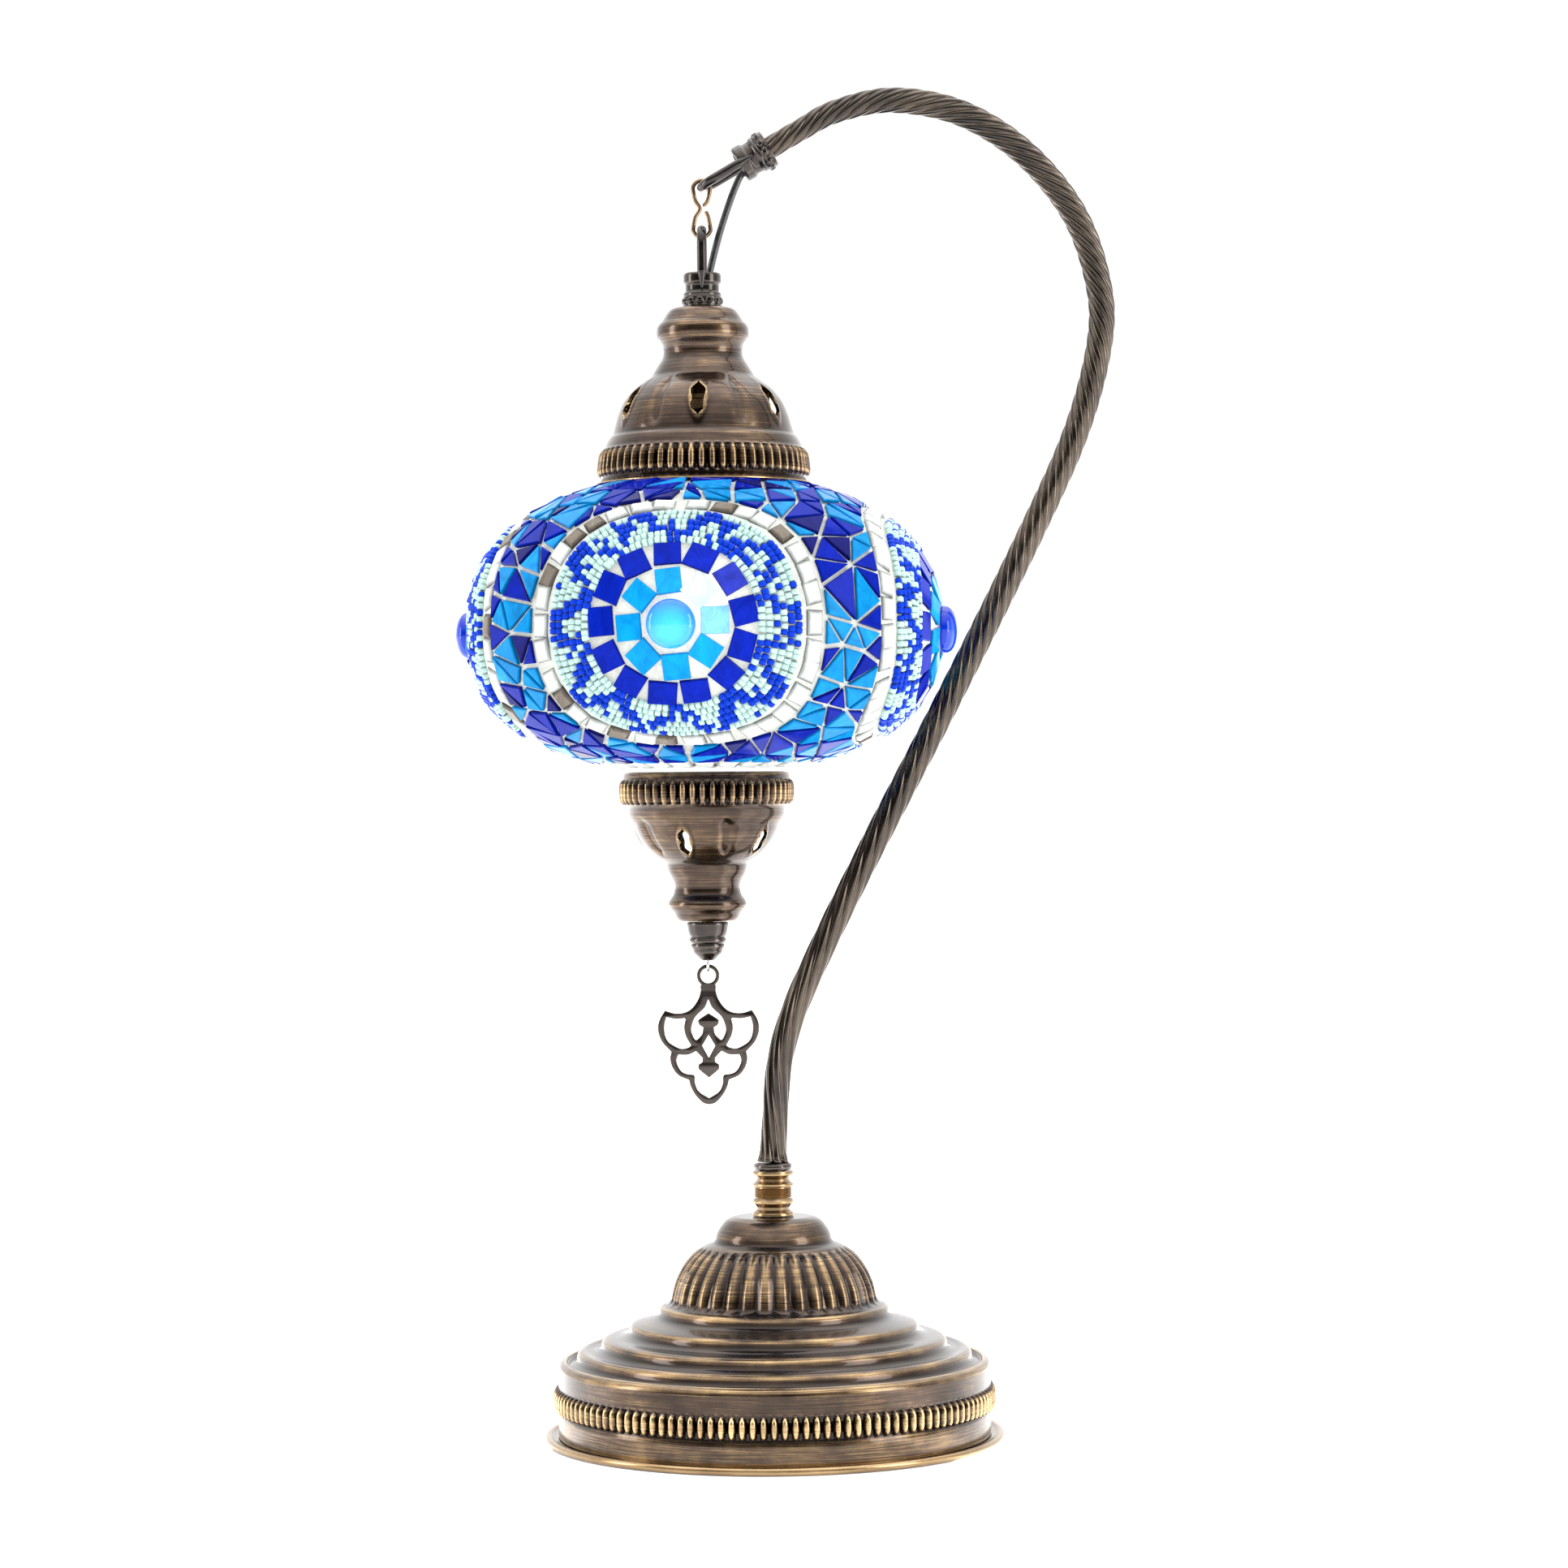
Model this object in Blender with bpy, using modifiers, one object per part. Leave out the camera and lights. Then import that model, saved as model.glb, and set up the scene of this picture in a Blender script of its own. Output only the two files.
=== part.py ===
"""Mosaic glass table lamp with a swan-neck arm.

A glass globe covered in glass mosaic hangs between two pressed brass caps from an S-hook, which
hangs from the bail at the tip of a hollow twisted arm.  The arm stands on a stepped brass base.

Frame: origin at the centre of the base's underside, +Z up, +X towards the bulge of the arm,
-Y towards the front.  Every size is in millimetres; MM turns them into metres as meshes are made.
"""
import math

import bpy
import bmesh
from mathutils import Matrix, Vector

MM = 0.001
GAP = 0.3               # play between pieces that touch on the bench
SHEET = 0.8             # wall of the pressed brass parts

# ---- base ----
BASE_R = 80.0           # rim of the tray
TRAY_FLAT_R = BASE_R - 3.8
SHELL_R = BASE_R - 4.8  # upright wall of the base shell
BASE_TOP = 77.6         # flat top of the base shell
WALL_TOP = 26.9
BAND_Z, BAND_R = 15.0, BASE_R - 2.7     # crest of the beaded band round the wall
DOME_R, DOME_FOOT = 35.9, 48.9          # dome in the middle of the base
STEPS = 4                               # rounded steps between dome and wall
FELT_T, FELT_R = 0.9, BASE_R - 3.0
TRAY_Z = FELT_T + GAP
BOSS_UP = 4.8           # raised middle of the tray, which hides the nut
ROLL_R = 1.35           # rolled edge of the tray, which hangs just clear of the table
ROLL_Z = TRAY_Z + 0.3
BALLAST_R, BALLAST_H, BALLAST_HOLE = 60.0, 9.0, 16.5
CORD_R = 1.4
GROMMET_Z, GROMMET_R = 22.2, 3.0

# ---- stem, spool and arm foot ----
STEM_R, STEM_BORE = 3.2, 2.0
STEM_HOLE = STEM_R + GAP
SPOOL_BORE, SPOOL_H = 4.9, 15.6
SPOOL_RING, SPOOL_NECK = 7.2, 5.9
FOOT_R, FOOT_T, SPIGOT_L = 6.6, 2.4, 13.6
NUT_T = 3.4
STEM_NUT_WALL, CAP_NUT_WALL, STUD_NUT_WALL = 1.9, 1.1, 3.1     # bore to corner of each nut

# ---- arm ----
ARM_R, ARM_WALL = 4.45, 1.1
ARM_RISE = 369.4        # top of the arch above the arm's foot, at the middle of the tube
ARM_TILT = math.radians(30.0)           # downward slope of the arm's straight end
ARM_END_L = 24.0        # straight end, from the last bend to the mouth of the ferrule
ARM_CLEAR = 5.2         # room between the tube and the side boss of the globe
# Route of the tube as (reach / bulge, height / rise), foot to last bend
ARM_ROUTE = [(0.0, 0.0), (0.008, 0.042), (0.023, 0.094), (0.068, 0.143), (0.162, 0.208),
             (0.310, 0.300), (0.540, 0.4375), (0.785, 0.590), (0.927, 0.689), (0.997, 0.7725),
             (0.991, 0.829), (0.9215, 0.892), (0.776, 0.949), (0.589, 0.987), (0.384, 1.0),
             (0.213, 0.9897), (0.1024, 0.9716)]
ARM_AT_GLOBE = 0.648    # reach / bulge of the route level with the middle of the globe

# ---- casting with a bail, used on the arm and on the top cap ----
CAST_L, CAST_R, CAST_BORE = 12.0, 7.1, 4.3
ARM_END_R = CAST_BORE - 0.54    # the tube is drawn slim where it enters the casting
BAIL_R, BAIL_HALF, BAIL_REACH, BAIL_ROOT = 1.65, 6.0, 15.2, 3.0

# ---- S-hook ----
HOOK_R, HOOK_LOBE = 0.7, 3.0
HOOK_DROP = 14.5        # from the arm's bail to the cap's bail

# ---- globe and mosaic ----
GLOBE_R = 83.0          # outside of the mosaic
GLOBE_UP, GLOBE_DOWN = 55.0, 49.2       # half heights above and below the widest level
ROUND = 2.3             # exponent of the globe's outline; 2 would be an ellipse
TILE_T, GLASS_T = 2.0, 2.2
TOP_HOLE, BOTTOM_HOLE = 30.0, 22.0
BOSS_R, BOSS_H = 8.25, 4.7
BOSS_TURN = -6.7        # the four bosses stand this many degrees off the lamp's own axes

# ---- top cap and what hangs in it ----
CAP_DROP = 61.4         # flat top of the cap to its rim
NECK_R = 37.6
CAP_VENTS, CAP_VENT_TURN = 6, -2.6
VENT_W, VENT_H = 5.3, 12.7
NIPPLE_R, NIPPLE_BORE, NIPPLE_L = CAST_BORE - GAP, 2.6, 42.0     # screwed into the casting
BRACKET_DOWN, BRACKET_T, BRACKET_X = 30.0, 1.4, 23.0
BRACKET_LAND = 0.7      # metal left on each side of the hole in the strap
BRACKET_W = 2 * (NIPPLE_R + GAP + BRACKET_LAND)
HOLDER_R, HOLDER_T = 13.5, 1.2
HOLDER_DOWN = 36.0      # top of the lampholder below the flat top of the cap
BULB_R, BULB_NECK, BULB_DOWN = 22.5, 6.2, 104.3

# ---- bottom cap, finial and pendant ----
BOWL_R = 28.4
BOWL_DROP = 51.6        # rim of the bottom cap to its foot
BOWL_VENTS, BOWL_VENT_TURN = 5, -18.5
STUD_R, STUD_L = 2.0, 31.0
FINIAL_H = 13.4
EYE_WIRE, EYE_RING = 0.55, 2.4
RING_IN, RING_OUT = 2.6, 4.0            # hanging ring of the pendant
PENDANT_T, PENDANT_PLAY = 1.8, 0.4

FINE, MEDIUM, SMALL = 24, 16, 12        # steps round a turned piece

# ---- levels and places that follow from the sizes above ----
SPOOL_Z = BASE_TOP + GAP
FOOT_Z = SPOOL_Z + SPOOL_H + GAP
ARM_Z = FOOT_Z + FOOT_T + GAP
MOUTH_SIDE = Vector((-math.cos(ARM_TILT), 0, -math.sin(ARM_TILT)))


def arm_bulge():
    """Reach of the arm that leaves ARM_CLEAR beside the globe's boss.

    The shade's axis is the tip of the bail, so the bulge b solves
    b * ARM_AT_GLOBE = axis(b) + globe + boss + clearance + tube.
    """
    hang = (ARM_END_L + BAIL_REACH) * math.cos(ARM_TILT)
    beside = GLOBE_R + GAP + BOSS_H + ARM_CLEAR + ARM_R
    return (beside - hang) / (ARM_AT_GLOBE - ARM_ROUTE[-1][0])


BULGE = arm_bulge()
BEND = Vector((ARM_ROUTE[-1][0] * BULGE, 0, ARM_Z + ARM_ROUTE[-1][1] * ARM_RISE))
MOUTH = BEND + MOUTH_SIDE * ARM_END_L
TIP = MOUTH + MOUTH_SIDE * BAIL_REACH
SHADE_X = TIP.x
HOOK_HALF = (HOOK_DROP + 2 * (BAIL_R + GAP + HOOK_R)) / 2
HOOK_Z = TIP.z - HOOK_DROP / 2
HOOK_LOW = HOOK_Z - HOOK_HALF
BAIL_Z = TIP.z - HOOK_DROP
CAST_TOP = BAIL_Z - BAIL_REACH
CAP_TOP = CAST_TOP - CAST_L - GAP
CAP_RIM = CAP_TOP - CAP_DROP


def globe_height(radius, belt, half):
    """Height of the globe's outline over its widest level at a radius."""
    return half * (1 - (radius / belt) ** ROUND) ** (1 / ROUND)


GLOBE_Z = CAP_RIM - GAP - globe_height(NECK_R - SHEET, GLOBE_R, GLOBE_UP)
BOWL_RIM = GLOBE_Z - globe_height(BOTTOM_HOLE, GLOBE_R, GLOBE_DOWN) - 2 * GAP
BOWL_FOOT = BOWL_RIM - BOWL_DROP
FINIAL_TOP = BOWL_FOOT - GAP
FINIAL_FOOT = FINIAL_TOP - FINIAL_H
RING_Z = FINIAL_FOOT - 5.4
EYE_Z = RING_Z + RING_IN - PENDANT_PLAY - EYE_WIRE   # middle of the eye's lowest wire


# ---- scene, materials and objects ----
for old in list(bpy.data.objects):
    bpy.data.objects.remove(old, do_unlink=True)
PARTS = bpy.data.collections.new("mosaic_table_lamp")
CUTTERS = bpy.data.collections.new("cutters")
for group in (PARTS, CUTTERS):
    bpy.context.scene.collection.children.link(group)


def finish(name, colour, metallic, roughness):
    """Principled material with a colour, a metallic value and a roughness."""
    material = bpy.data.materials.new(name)
    material.use_nodes = True
    shader = material.node_tree.nodes["Principled BSDF"]
    shader.inputs["Base Color"].default_value = (*colour, 1)
    shader.inputs["Metallic"].default_value = metallic
    shader.inputs["Roughness"].default_value = roughness
    material.diffuse_color = (*colour, 1)
    return material


BRONZE = finish("antique_bronze", (0.25, 0.16, 0.08), 1.0, 0.28)
GOLD_EDGE = finish("rubbed_brass", (0.60, 0.42, 0.20), 1.0, 0.25)
GUNMETAL = finish("gunmetal_bronze", (0.13, 0.11, 0.10), 1.0, 0.32)
BRASS = finish("bright_brass", (0.72, 0.53, 0.22), 1.0, 0.22)
STEEL = finish("zinc_plated_steel", (0.55, 0.55, 0.56), 1.0, 0.35)
IRON = finish("ballast_iron", (0.08, 0.08, 0.08), 0.6, 0.7)
FELT = finish("black_felt", (0.02, 0.02, 0.02), 0.0, 0.95)
CABLE = finish("black_cable", (0.015, 0.015, 0.018), 0.0, 0.4)
BLACK = finish("black_plastic", (0.03, 0.03, 0.03), 0.0, 0.45)
GLASS = finish("clear_glass", (0.86, 0.92, 0.95), 0.0, 0.05)
OPAL = finish("opal_bulb_glass", (0.95, 0.94, 0.90), 0.0, 0.3)
MOSAIC = finish("blue_mosaic", (0.04, 0.20, 0.55), 0.0, 0.15)
CABOCHON = finish("blue_cabochon", (0.02, 0.12, 0.60), 0.0, 0.08)
SILICONE = finish("clear_silicone", (0.75, 0.75, 0.72), 0.0, 0.5)


def pivot(name, place, parent=None):
    """Empty on a joint's axis, which carries the pieces that move about it."""
    empty = bpy.data.objects.new(name, None)
    empty.location = Vector(place) * MM
    PARTS.objects.link(empty)
    bpy.context.view_layer.update()
    if parent:
        adopt(empty, parent)
    return empty


def adopt(piece, parent):
    piece.parent = parent
    piece.matrix_parent_inverse = parent.matrix_world.inverted()
    bpy.context.view_layer.update()


def piece(name, data, material, parent, place=(0, 0, 0), turn=None):
    """Named object in the lamp's collection, with its material, place and parent."""
    thing = bpy.data.objects.new(name, data)
    thing.location = Vector(place) * MM
    if turn is not None:
        thing.rotation_euler = turn
    data.materials.append(material)
    PARTS.objects.link(thing)
    bpy.context.view_layer.update()
    adopt(thing, parent)
    return thing


def turned(name, profile, material, parent, steps=SMALL, place=(SHADE_X, 0, 0), turn=None):
    """Turn a closed (radius, height) outline, down its outer side, round the Z axis."""
    mesh = bpy.data.meshes.new(name)
    points = [(r * MM, 0, z * MM) for r, z in profile]
    count = len(points)
    open_ends = profile[0][0] == 0 and profile[-1][0] == 0
    edges = [(i, (i + 1) % count) for i in range(count - 1 if open_ends else count)]
    mesh.from_pydata(points, edges, [])
    thing = piece(name, mesh, material, parent, place, turn)
    screw = thing.modifiers.new("turning", "SCREW")
    screw.steps = screw.render_steps = steps
    screw.use_merge_vertices = True
    screw.merge_threshold = 0.00001
    return thing


def ring(inner, outer, low, high):
    """Outline of a plain tube or washer."""
    return [(inner, high), (outer, high), (outer, low), (inner, low)]


def walled(outer, wall=SHEET):
    """Close an outer line with a second line set one wall inside it, both ends cut flat."""
    inner = []
    last = len(outer) - 1
    for i, point in enumerate(outer):
        before = Vector(outer[max(i - 1, 0)])
        after = Vector(outer[min(i + 1, last)])
        here = Vector(point)
        normals = []
        for along in (here - before, after - here):
            if along.length:
                along.normalize()
                normals.append(Vector((along.y, -along.x)))
        normal = sum(normals, Vector((0, 0))).normalized()
        inner.append(tuple(here + normal * wall / max(normal.dot(normals[0]), 0.5)))
    return outer + inner[::-1]


def polyline(name, points, radius, resolution=2, radii=None, caps=True):
    """Round wire through points, as a POLY curve."""
    curve = bpy.data.curves.new(name, "CURVE")
    curve.dimensions = "3D"
    curve.bevel_depth = radius * MM
    curve.bevel_resolution = resolution
    curve.use_fill_caps = caps
    spline = curve.splines.new("POLY")
    spline.points.add(len(points) - 1)
    for i, place in enumerate(points):
        spline.points[i].co = (*(Vector(place) * MM), 1)
        spline.points[i].radius = radii[i] if radii else 1.0
    return curve


def cutter_from(data, place=(0, 0, 0), turn=None):
    """Hidden mesh object that cuts or joins; a curve is turned into a welded mesh first."""
    source = bpy.data.objects.new("cutter_source", data)
    source.location = Vector(place) * MM
    if turn is not None:
        source.rotation_euler = turn
    CUTTERS.objects.link(source)
    bpy.context.view_layer.update()
    mesh = bpy.data.meshes.new_from_object(source.evaluated_get(bpy.context.evaluated_depsgraph_get()))
    work = bmesh.new()
    work.from_mesh(mesh)
    bmesh.ops.remove_doubles(work, verts=work.verts, dist=0.000001)
    work.to_mesh(mesh)
    work.free()
    cutter = bpy.data.objects.new("cutter", mesh)
    cutter.matrix_world = source.matrix_world
    bpy.data.objects.remove(source, do_unlink=True)
    CUTTERS.objects.link(cutter)
    cutter.hide_render = True
    cutter.display_type = "WIRE"
    return cutter


def boolean(thing, cutter, operation="DIFFERENCE"):
    step = thing.modifiers.new("boolean", "BOOLEAN")
    step.operation = operation
    step.solver = "EXACT"
    step.object = cutter


def block(size, centre):
    """Mesh of a box, as a cutter's shape."""
    mesh = bpy.data.meshes.new("block")
    work = bmesh.new()
    bmesh.ops.create_cube(work, size=1)
    bmesh.ops.scale(work, vec=Vector(size) * MM, verts=work.verts)
    bmesh.ops.translate(work, vec=Vector(centre) * MM, verts=work.verts)
    work.to_mesh(mesh)
    work.free()
    return mesh


def prism(sides, radius, low, high, turn=0.0):
    """Mesh of an upright prism or rod round the Z axis."""
    mesh = bpy.data.meshes.new("prism")
    work = bmesh.new()
    bmesh.ops.create_cone(work, cap_ends=True, segments=sides, radius1=radius * MM,
                          radius2=radius * MM, depth=(high - low) * MM)
    bmesh.ops.rotate(work, cent=(0, 0, 0), matrix=Matrix.Rotation(turn, 3, "Z"), verts=work.verts)
    bmesh.ops.translate(work, vec=(0, 0, (low + high) / 2 * MM), verts=work.verts)
    work.to_mesh(mesh)
    work.free()
    return mesh


def hex_nut(name, bore, wall, low, parent, place, material):
    """Hexagon nut that stands from low upwards, with a round bore."""
    nut = piece(name, prism(6, bore + wall, low, low + NUT_T), material, parent, place)
    boolean(nut, cutter_from(prism(SMALL, bore, low - 1, low + NUT_T + 1), place))
    return nut


def smooth_route(points, spacing):
    """Catmull-Rom curve through points, read off about every spacing."""
    points = [Vector(p) for p in points]
    ends = [2 * points[0] - points[1], *points, 2 * points[-1] - points[-2]]
    route = []
    for a, b, c, d in zip(ends, ends[1:], ends[2:], ends[3:]):
        count = max(1, round((c - b).length / spacing))
        for k in range(count):
            t = k / count
            route.append(0.5 * (2 * b + (c - a) * t + (2 * a - 5 * b + 4 * c - d) * t * t
                                + (3 * b - a - 3 * c + d) * t ** 3))
    return route + [points[-1]]


# ---- bodies: what stands, the hook, the shade and the pendant ----
STAND = pivot("stand_body", (0, 0, 0))
HOOK = pivot("hook_body", TIP, STAND)
SHADE = pivot("shade_body", (SHADE_X, 0, HOOK_LOW), HOOK)
PENDANT = pivot("pendant_body", (SHADE_X, 0, EYE_Z), SHADE)


def shell_outline():
    """Base shell from its hole down: flat top, valley, fluted dome, steps, wall and beaded band."""
    line = [(STEM_HOLE, BASE_TOP), (13.4, BASE_TOP), (16.7, BASE_TOP - 1.5),
            (19.4, BASE_TOP - 4.9), (20.6, BASE_TOP - 8.3), (26.6, BASE_TOP - 11.7),
            (31.4, BASE_TOP - 16.8), (34.8, BASE_TOP - 23.6), (DOME_R, DOME_FOOT)]
    for k in range(STEPS):
        # Each step is a rounded nose with a shallow valley under it
        share = (k + 0.42) / STEPS
        nose = (DOME_R + (SHELL_R - DOME_R) * share, DOME_FOOT + (WALL_TOP - DOME_FOOT) * share)
        line.append((nose[0] + 0.6, nose[1] + 1.6))
        if k < STEPS - 1:
            line.append((nose[0] + 3.4, nose[1] - 2.4))
    line += [(SHELL_R, WALL_TOP), (SHELL_R, BAND_Z + 4.0), (BAND_R, BAND_Z + 1.8),
             (BAND_R, BAND_Z - 1.8), (SHELL_R, BAND_Z - 4.0), (SHELL_R, TRAY_Z + SHEET + GAP)]
    return line


def make_base():
    on_axis = (0, 0, 0)
    tray_top = TRAY_Z + SHEET
    turned("base_felt", [(0, FELT_T), (FELT_R, FELT_T), (FELT_R, 0), (0, 0)], FELT, STAND, FINE, on_axis)
    # The edge is rolled round, from the inside over the top to just above the table
    turns = [math.radians(angle) for angle in (140, 90, 45, 0, -45, -90, -140)]
    roll = [(BASE_R - ROLL_R * (1 - math.cos(turn)), ROLL_Z + ROLL_R * math.sin(turn)) for turn in turns]
    tray = [(STEM_HOLE, tray_top + BOSS_UP), (12.0, tray_top + BOSS_UP), (15.0, tray_top),
            (TRAY_FLAT_R, tray_top), *roll, (FELT_R + GAP, TRAY_Z), (14.2, TRAY_Z),
            (11.2, TRAY_Z + BOSS_UP), (STEM_HOLE, TRAY_Z + BOSS_UP)]
    turned("base_tray", tray, GOLD_EDGE, STAND, FINE, on_axis)
    ballast_low = tray_top + GAP
    turned("ballast_disc", ring(BALLAST_HOLE, BALLAST_R, ballast_low, ballast_low + BALLAST_H),
           IRON, STAND, MEDIUM, on_axis)
    shell = turned("base_shell", walled(shell_outline()), BRONZE, STAND, FINE, on_axis)
    hole = prism(SMALL, GROMMET_R + GAP, -4, 4)
    boolean(shell, cutter_from(hole, (0, SHELL_R, GROMMET_Z), (math.pi / 2, 0, 0)))
    # Bush in the shell's rear wall: flange outside, body through the wall
    bush = [(CORD_R + GAP, 2.2), (GROMMET_R + 1.2, 2.2), (GROMMET_R + 1.2, 0.8), (GROMMET_R, 0.8),
            (GROMMET_R, -3.2), (CORD_R + GAP, -3.2)]
    turned("cord_grommet", bush, BLACK, STAND, SMALL, (0, SHELL_R, GROMMET_Z), (-math.pi / 2, 0, 0))


def make_stem():
    on_axis = (0, 0, 0)
    low = FELT_T + 2 * GAP
    stem = turned("stem_nipple", ring(STEM_BORE, STEM_R, low, FOOT_Z - 1.0), STEEL, STAND, SMALL, on_axis)
    # Side window that lets the cable into the stem
    boolean(stem, cutter_from(block((3.6, 8.0, 26.0), (0, 4.0, 26.0))))
    washer_top = TRAY_Z + BOSS_UP - GAP
    turned("stem_washer", ring(STEM_HOLE, 9.0, washer_top - 0.8, washer_top), STEEL, STAND, SMALL, on_axis)
    hex_nut("stem_nut", STEM_HOLE, STEM_NUT_WALL, FELT_T + GAP, STAND, on_axis, STEEL)
    high = SPOOL_Z + SPOOL_H
    spool = [(SPOOL_BORE, high), (SPOOL_RING - 0.3, high)]
    for level, neck in ((14.6, SPOOL_NECK), (10.7, SPOOL_NECK + 0.1), (4.8, SPOOL_NECK - 0.1)):
        spool += [(SPOOL_RING, SPOOL_Z + level), (neck, SPOOL_Z + level - 1.4),
                  (neck, SPOOL_Z + level - 2.7)]
    spool += [(SPOOL_RING - 0.1, SPOOL_Z + 0.8), (SPOOL_RING - 0.1, SPOOL_Z), (SPOOL_BORE, SPOOL_Z)]
    turned("base_collar", spool, GOLD_EDGE, STAND, MEDIUM, on_axis)
    foot = [(CORD_R + 0.8, FOOT_Z + FOOT_T), (FOOT_R - 0.7, FOOT_Z + FOOT_T), (FOOT_R, FOOT_Z + 1.6),
            (FOOT_R, FOOT_Z), (SPOOL_BORE - GAP, FOOT_Z), (SPOOL_BORE - GAP, FOOT_Z - SPIGOT_L),
            (STEM_HOLE, FOOT_Z - SPIGOT_L), (STEM_HOLE, FOOT_Z - 0.6), (CORD_R + 0.8, FOOT_Z - 0.6)]
    turned("arm_foot", foot, GUNMETAL, STAND, SMALL, on_axis)


def arm_line(spacing, end_short):
    """Middle line of the arm from its foot to end_short before the mouth of the ferrule."""
    bends = [Vector((x * BULGE, 0, ARM_Z + z * ARM_RISE)) for x, z in ARM_ROUTE]
    return smooth_route(bends + [MOUTH - MOUTH_SIDE * end_short], spacing)


def cast_outline():
    """Casting from its mouth down: band, groove, collar, filigree band and skirt."""
    return [(CAST_BORE, 0), (6.0, 0), (6.5, -0.5), (6.5, -3.6), (5.9, -4.0), (5.9, -6.3),
            (6.5, -7.0), (6.5, -8.2), (CAST_R, -8.8), (CAST_R, -10.8), (6.8, -CAST_L),
            (CAST_BORE, -CAST_L)]


def bail_casting(name, place, turn, parent):
    """Turned collar and the U-shaped bail cast in one with it; the bail stands up its own +Z."""
    casting = turned(name, cast_outline(), GUNMETAL, parent, SMALL, place, turn)
    crown = BAIL_REACH - BAIL_HALF
    legs = [(0, BAIL_HALF, -BAIL_ROOT), (0, BAIL_HALF, crown / 2)]
    arc = [(0, BAIL_HALF * math.cos(a), crown + BAIL_HALF * math.sin(a))
           for a in (math.pi * k / 8 for k in range(9))]
    other = [(x, -y, z) for x, y, z in reversed(legs)]
    wire = polyline(name + "_bail", legs + arc + other, BAIL_R)
    boolean(casting, cutter_from(wire, place, turn), "UNION")
    return casting


def make_arm():
    line = arm_line(14.0, 6.0)
    travelled = [0.0]
    for a, b in zip(line, line[1:]):
        travelled.append(travelled[-1] + (b - a).length)
    drawn = 1 - ARM_END_R / ARM_R
    slim = [1 - drawn * min(1, max(0, (s - travelled[-1] + 60) / 40)) for s in travelled]
    tube = piece("arm_tube", polyline("arm_tube", line, ARM_R, 2, slim, caps=False), GUNMETAL, STAND)
    wall = tube.modifiers.new("wall", "SOLIDIFY")
    wall.thickness = ARM_WALL * MM
    wall.offset = -1
    turn_to_mouth = (0, math.pi + (math.pi / 2 - ARM_TILT), 0)
    bail_casting("arm_ferrule", MOUTH, turn_to_mouth, STAND)


def cable_exits():
    """Where the cable leaves the ferrule's mouth and enters the casting on the cap."""
    off_axis = CAST_BORE - CORD_R - GAP
    low_side = Vector((-MOUTH_SIDE.z, 0, MOUTH_SIDE.x)) * off_axis
    return MOUTH + low_side, Vector((SHADE_X + off_axis, 0, CAST_TOP))


def make_cables():
    """One cable in three lengths: inside the stand, across the hook, and inside the shade."""
    leaves, enters = cable_exits()
    in_base = [(0, SHELL_R - 2, GROMMET_Z), (0, 62, 19.5), (0, 45, 15.2), (0, 24, 15.0),
               (0, 10, 18.5), (0, 3.0, 27.0), (0, 0.3, 38.0), (0, 0, 52.0), (0, 0, 74.0)]
    in_arm = arm_line(16.0, 9.0)
    ending = leaves - MOUTH_SIDE * GAP
    inside = smooth_route(in_base + [in_arm[0]], 9.0)[:-1] + in_arm + [ending]
    piece("cable_in_stand", polyline("cable_in_stand", inside, CORD_R, 1), CABLE, STAND)
    fall = enters - leaves
    hanging = [leaves, leaves + MOUTH_SIDE * 1.2 + Vector((0, 0, -1.0)), leaves + Vector((-3.9, 0, -8.3)),
               leaves + Vector((-7.4, 0, -18.4)), leaves + Vector((fall.x * 0.84, 0, fall.z * 0.78)), enters]
    piece("cable_span", polyline("cable_span", smooth_route(hanging, 4.0), CORD_R), CABLE, STAND)
    down = [enters - Vector((0, 0, GAP)), (SHADE_X + 2.2, 0, CAST_TOP - 3.0),
            (SHADE_X + 0.7, 0, CAST_TOP - 9.0), (SHADE_X, 0, CAST_TOP - 16.0), (SHADE_X, 0, CAP_TOP - 33.0),
            (SHADE_X, 0, CAP_TOP - HOLDER_DOWN - 7.0)]
    piece("cable_in_shade", polyline("cable_in_shade", down, CORD_R), CABLE, SHADE)


def make_hook():
    """Wire bent to an open figure of eight: both ends meet at the waist, on the right."""
    rise = HOOK_HALF - HOOK_LOBE
    arc = [(HOOK_LOBE * math.cos(a), rise + HOOK_LOBE * math.sin(a))
           for a in (math.pi * k / 8 for k in range(9))]
    upper = [(0.5, 0.9), (2.1, 2.9)] + arc + [(-2.2, 3.0), (-0.6, 0)]
    lower = [(x, -z) for x, z in reversed([(1.3, 0.7), (2.3, 2.9)] + arc + [(-2.2, 3.0)])]
    line = [(x, 0, z) for x, z in upper + lower]
    piece("s_hook", polyline("s_hook", line, HOOK_R), BRASS, HOOK, (SHADE_X, 0, HOOK_Z))


def vent(radius, level, height, width):
    """Ogee slot as a cutter's shape: pointed ends, a waist between two rounded lobes."""
    half = [(0.0, 0.50), (0.32, 0.36), (0.50, 0.22), (0.42, 0.0)]
    outline = half + [(x, -y) for x, y in reversed(half[:-1])]
    outline += [(-x, y) for x, y in reversed(outline[1:-1])]
    mesh = bpy.data.meshes.new("vent")
    work = bmesh.new()
    face = work.faces.new([work.verts.new((x * width * MM, -(radius + 9) * MM, (level + y * height) * MM))
                           for x, y in outline])
    pushed = bmesh.ops.extrude_face_region(work, geom=[face])
    moved = [v for v in pushed["geom"] if isinstance(v, bmesh.types.BMVert)]
    bmesh.ops.translate(work, vec=(0, 18 * MM, 0), verts=moved)
    bmesh.ops.recalc_face_normals(work, faces=work.faces)
    work.to_mesh(mesh)
    work.free()
    return mesh


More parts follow.
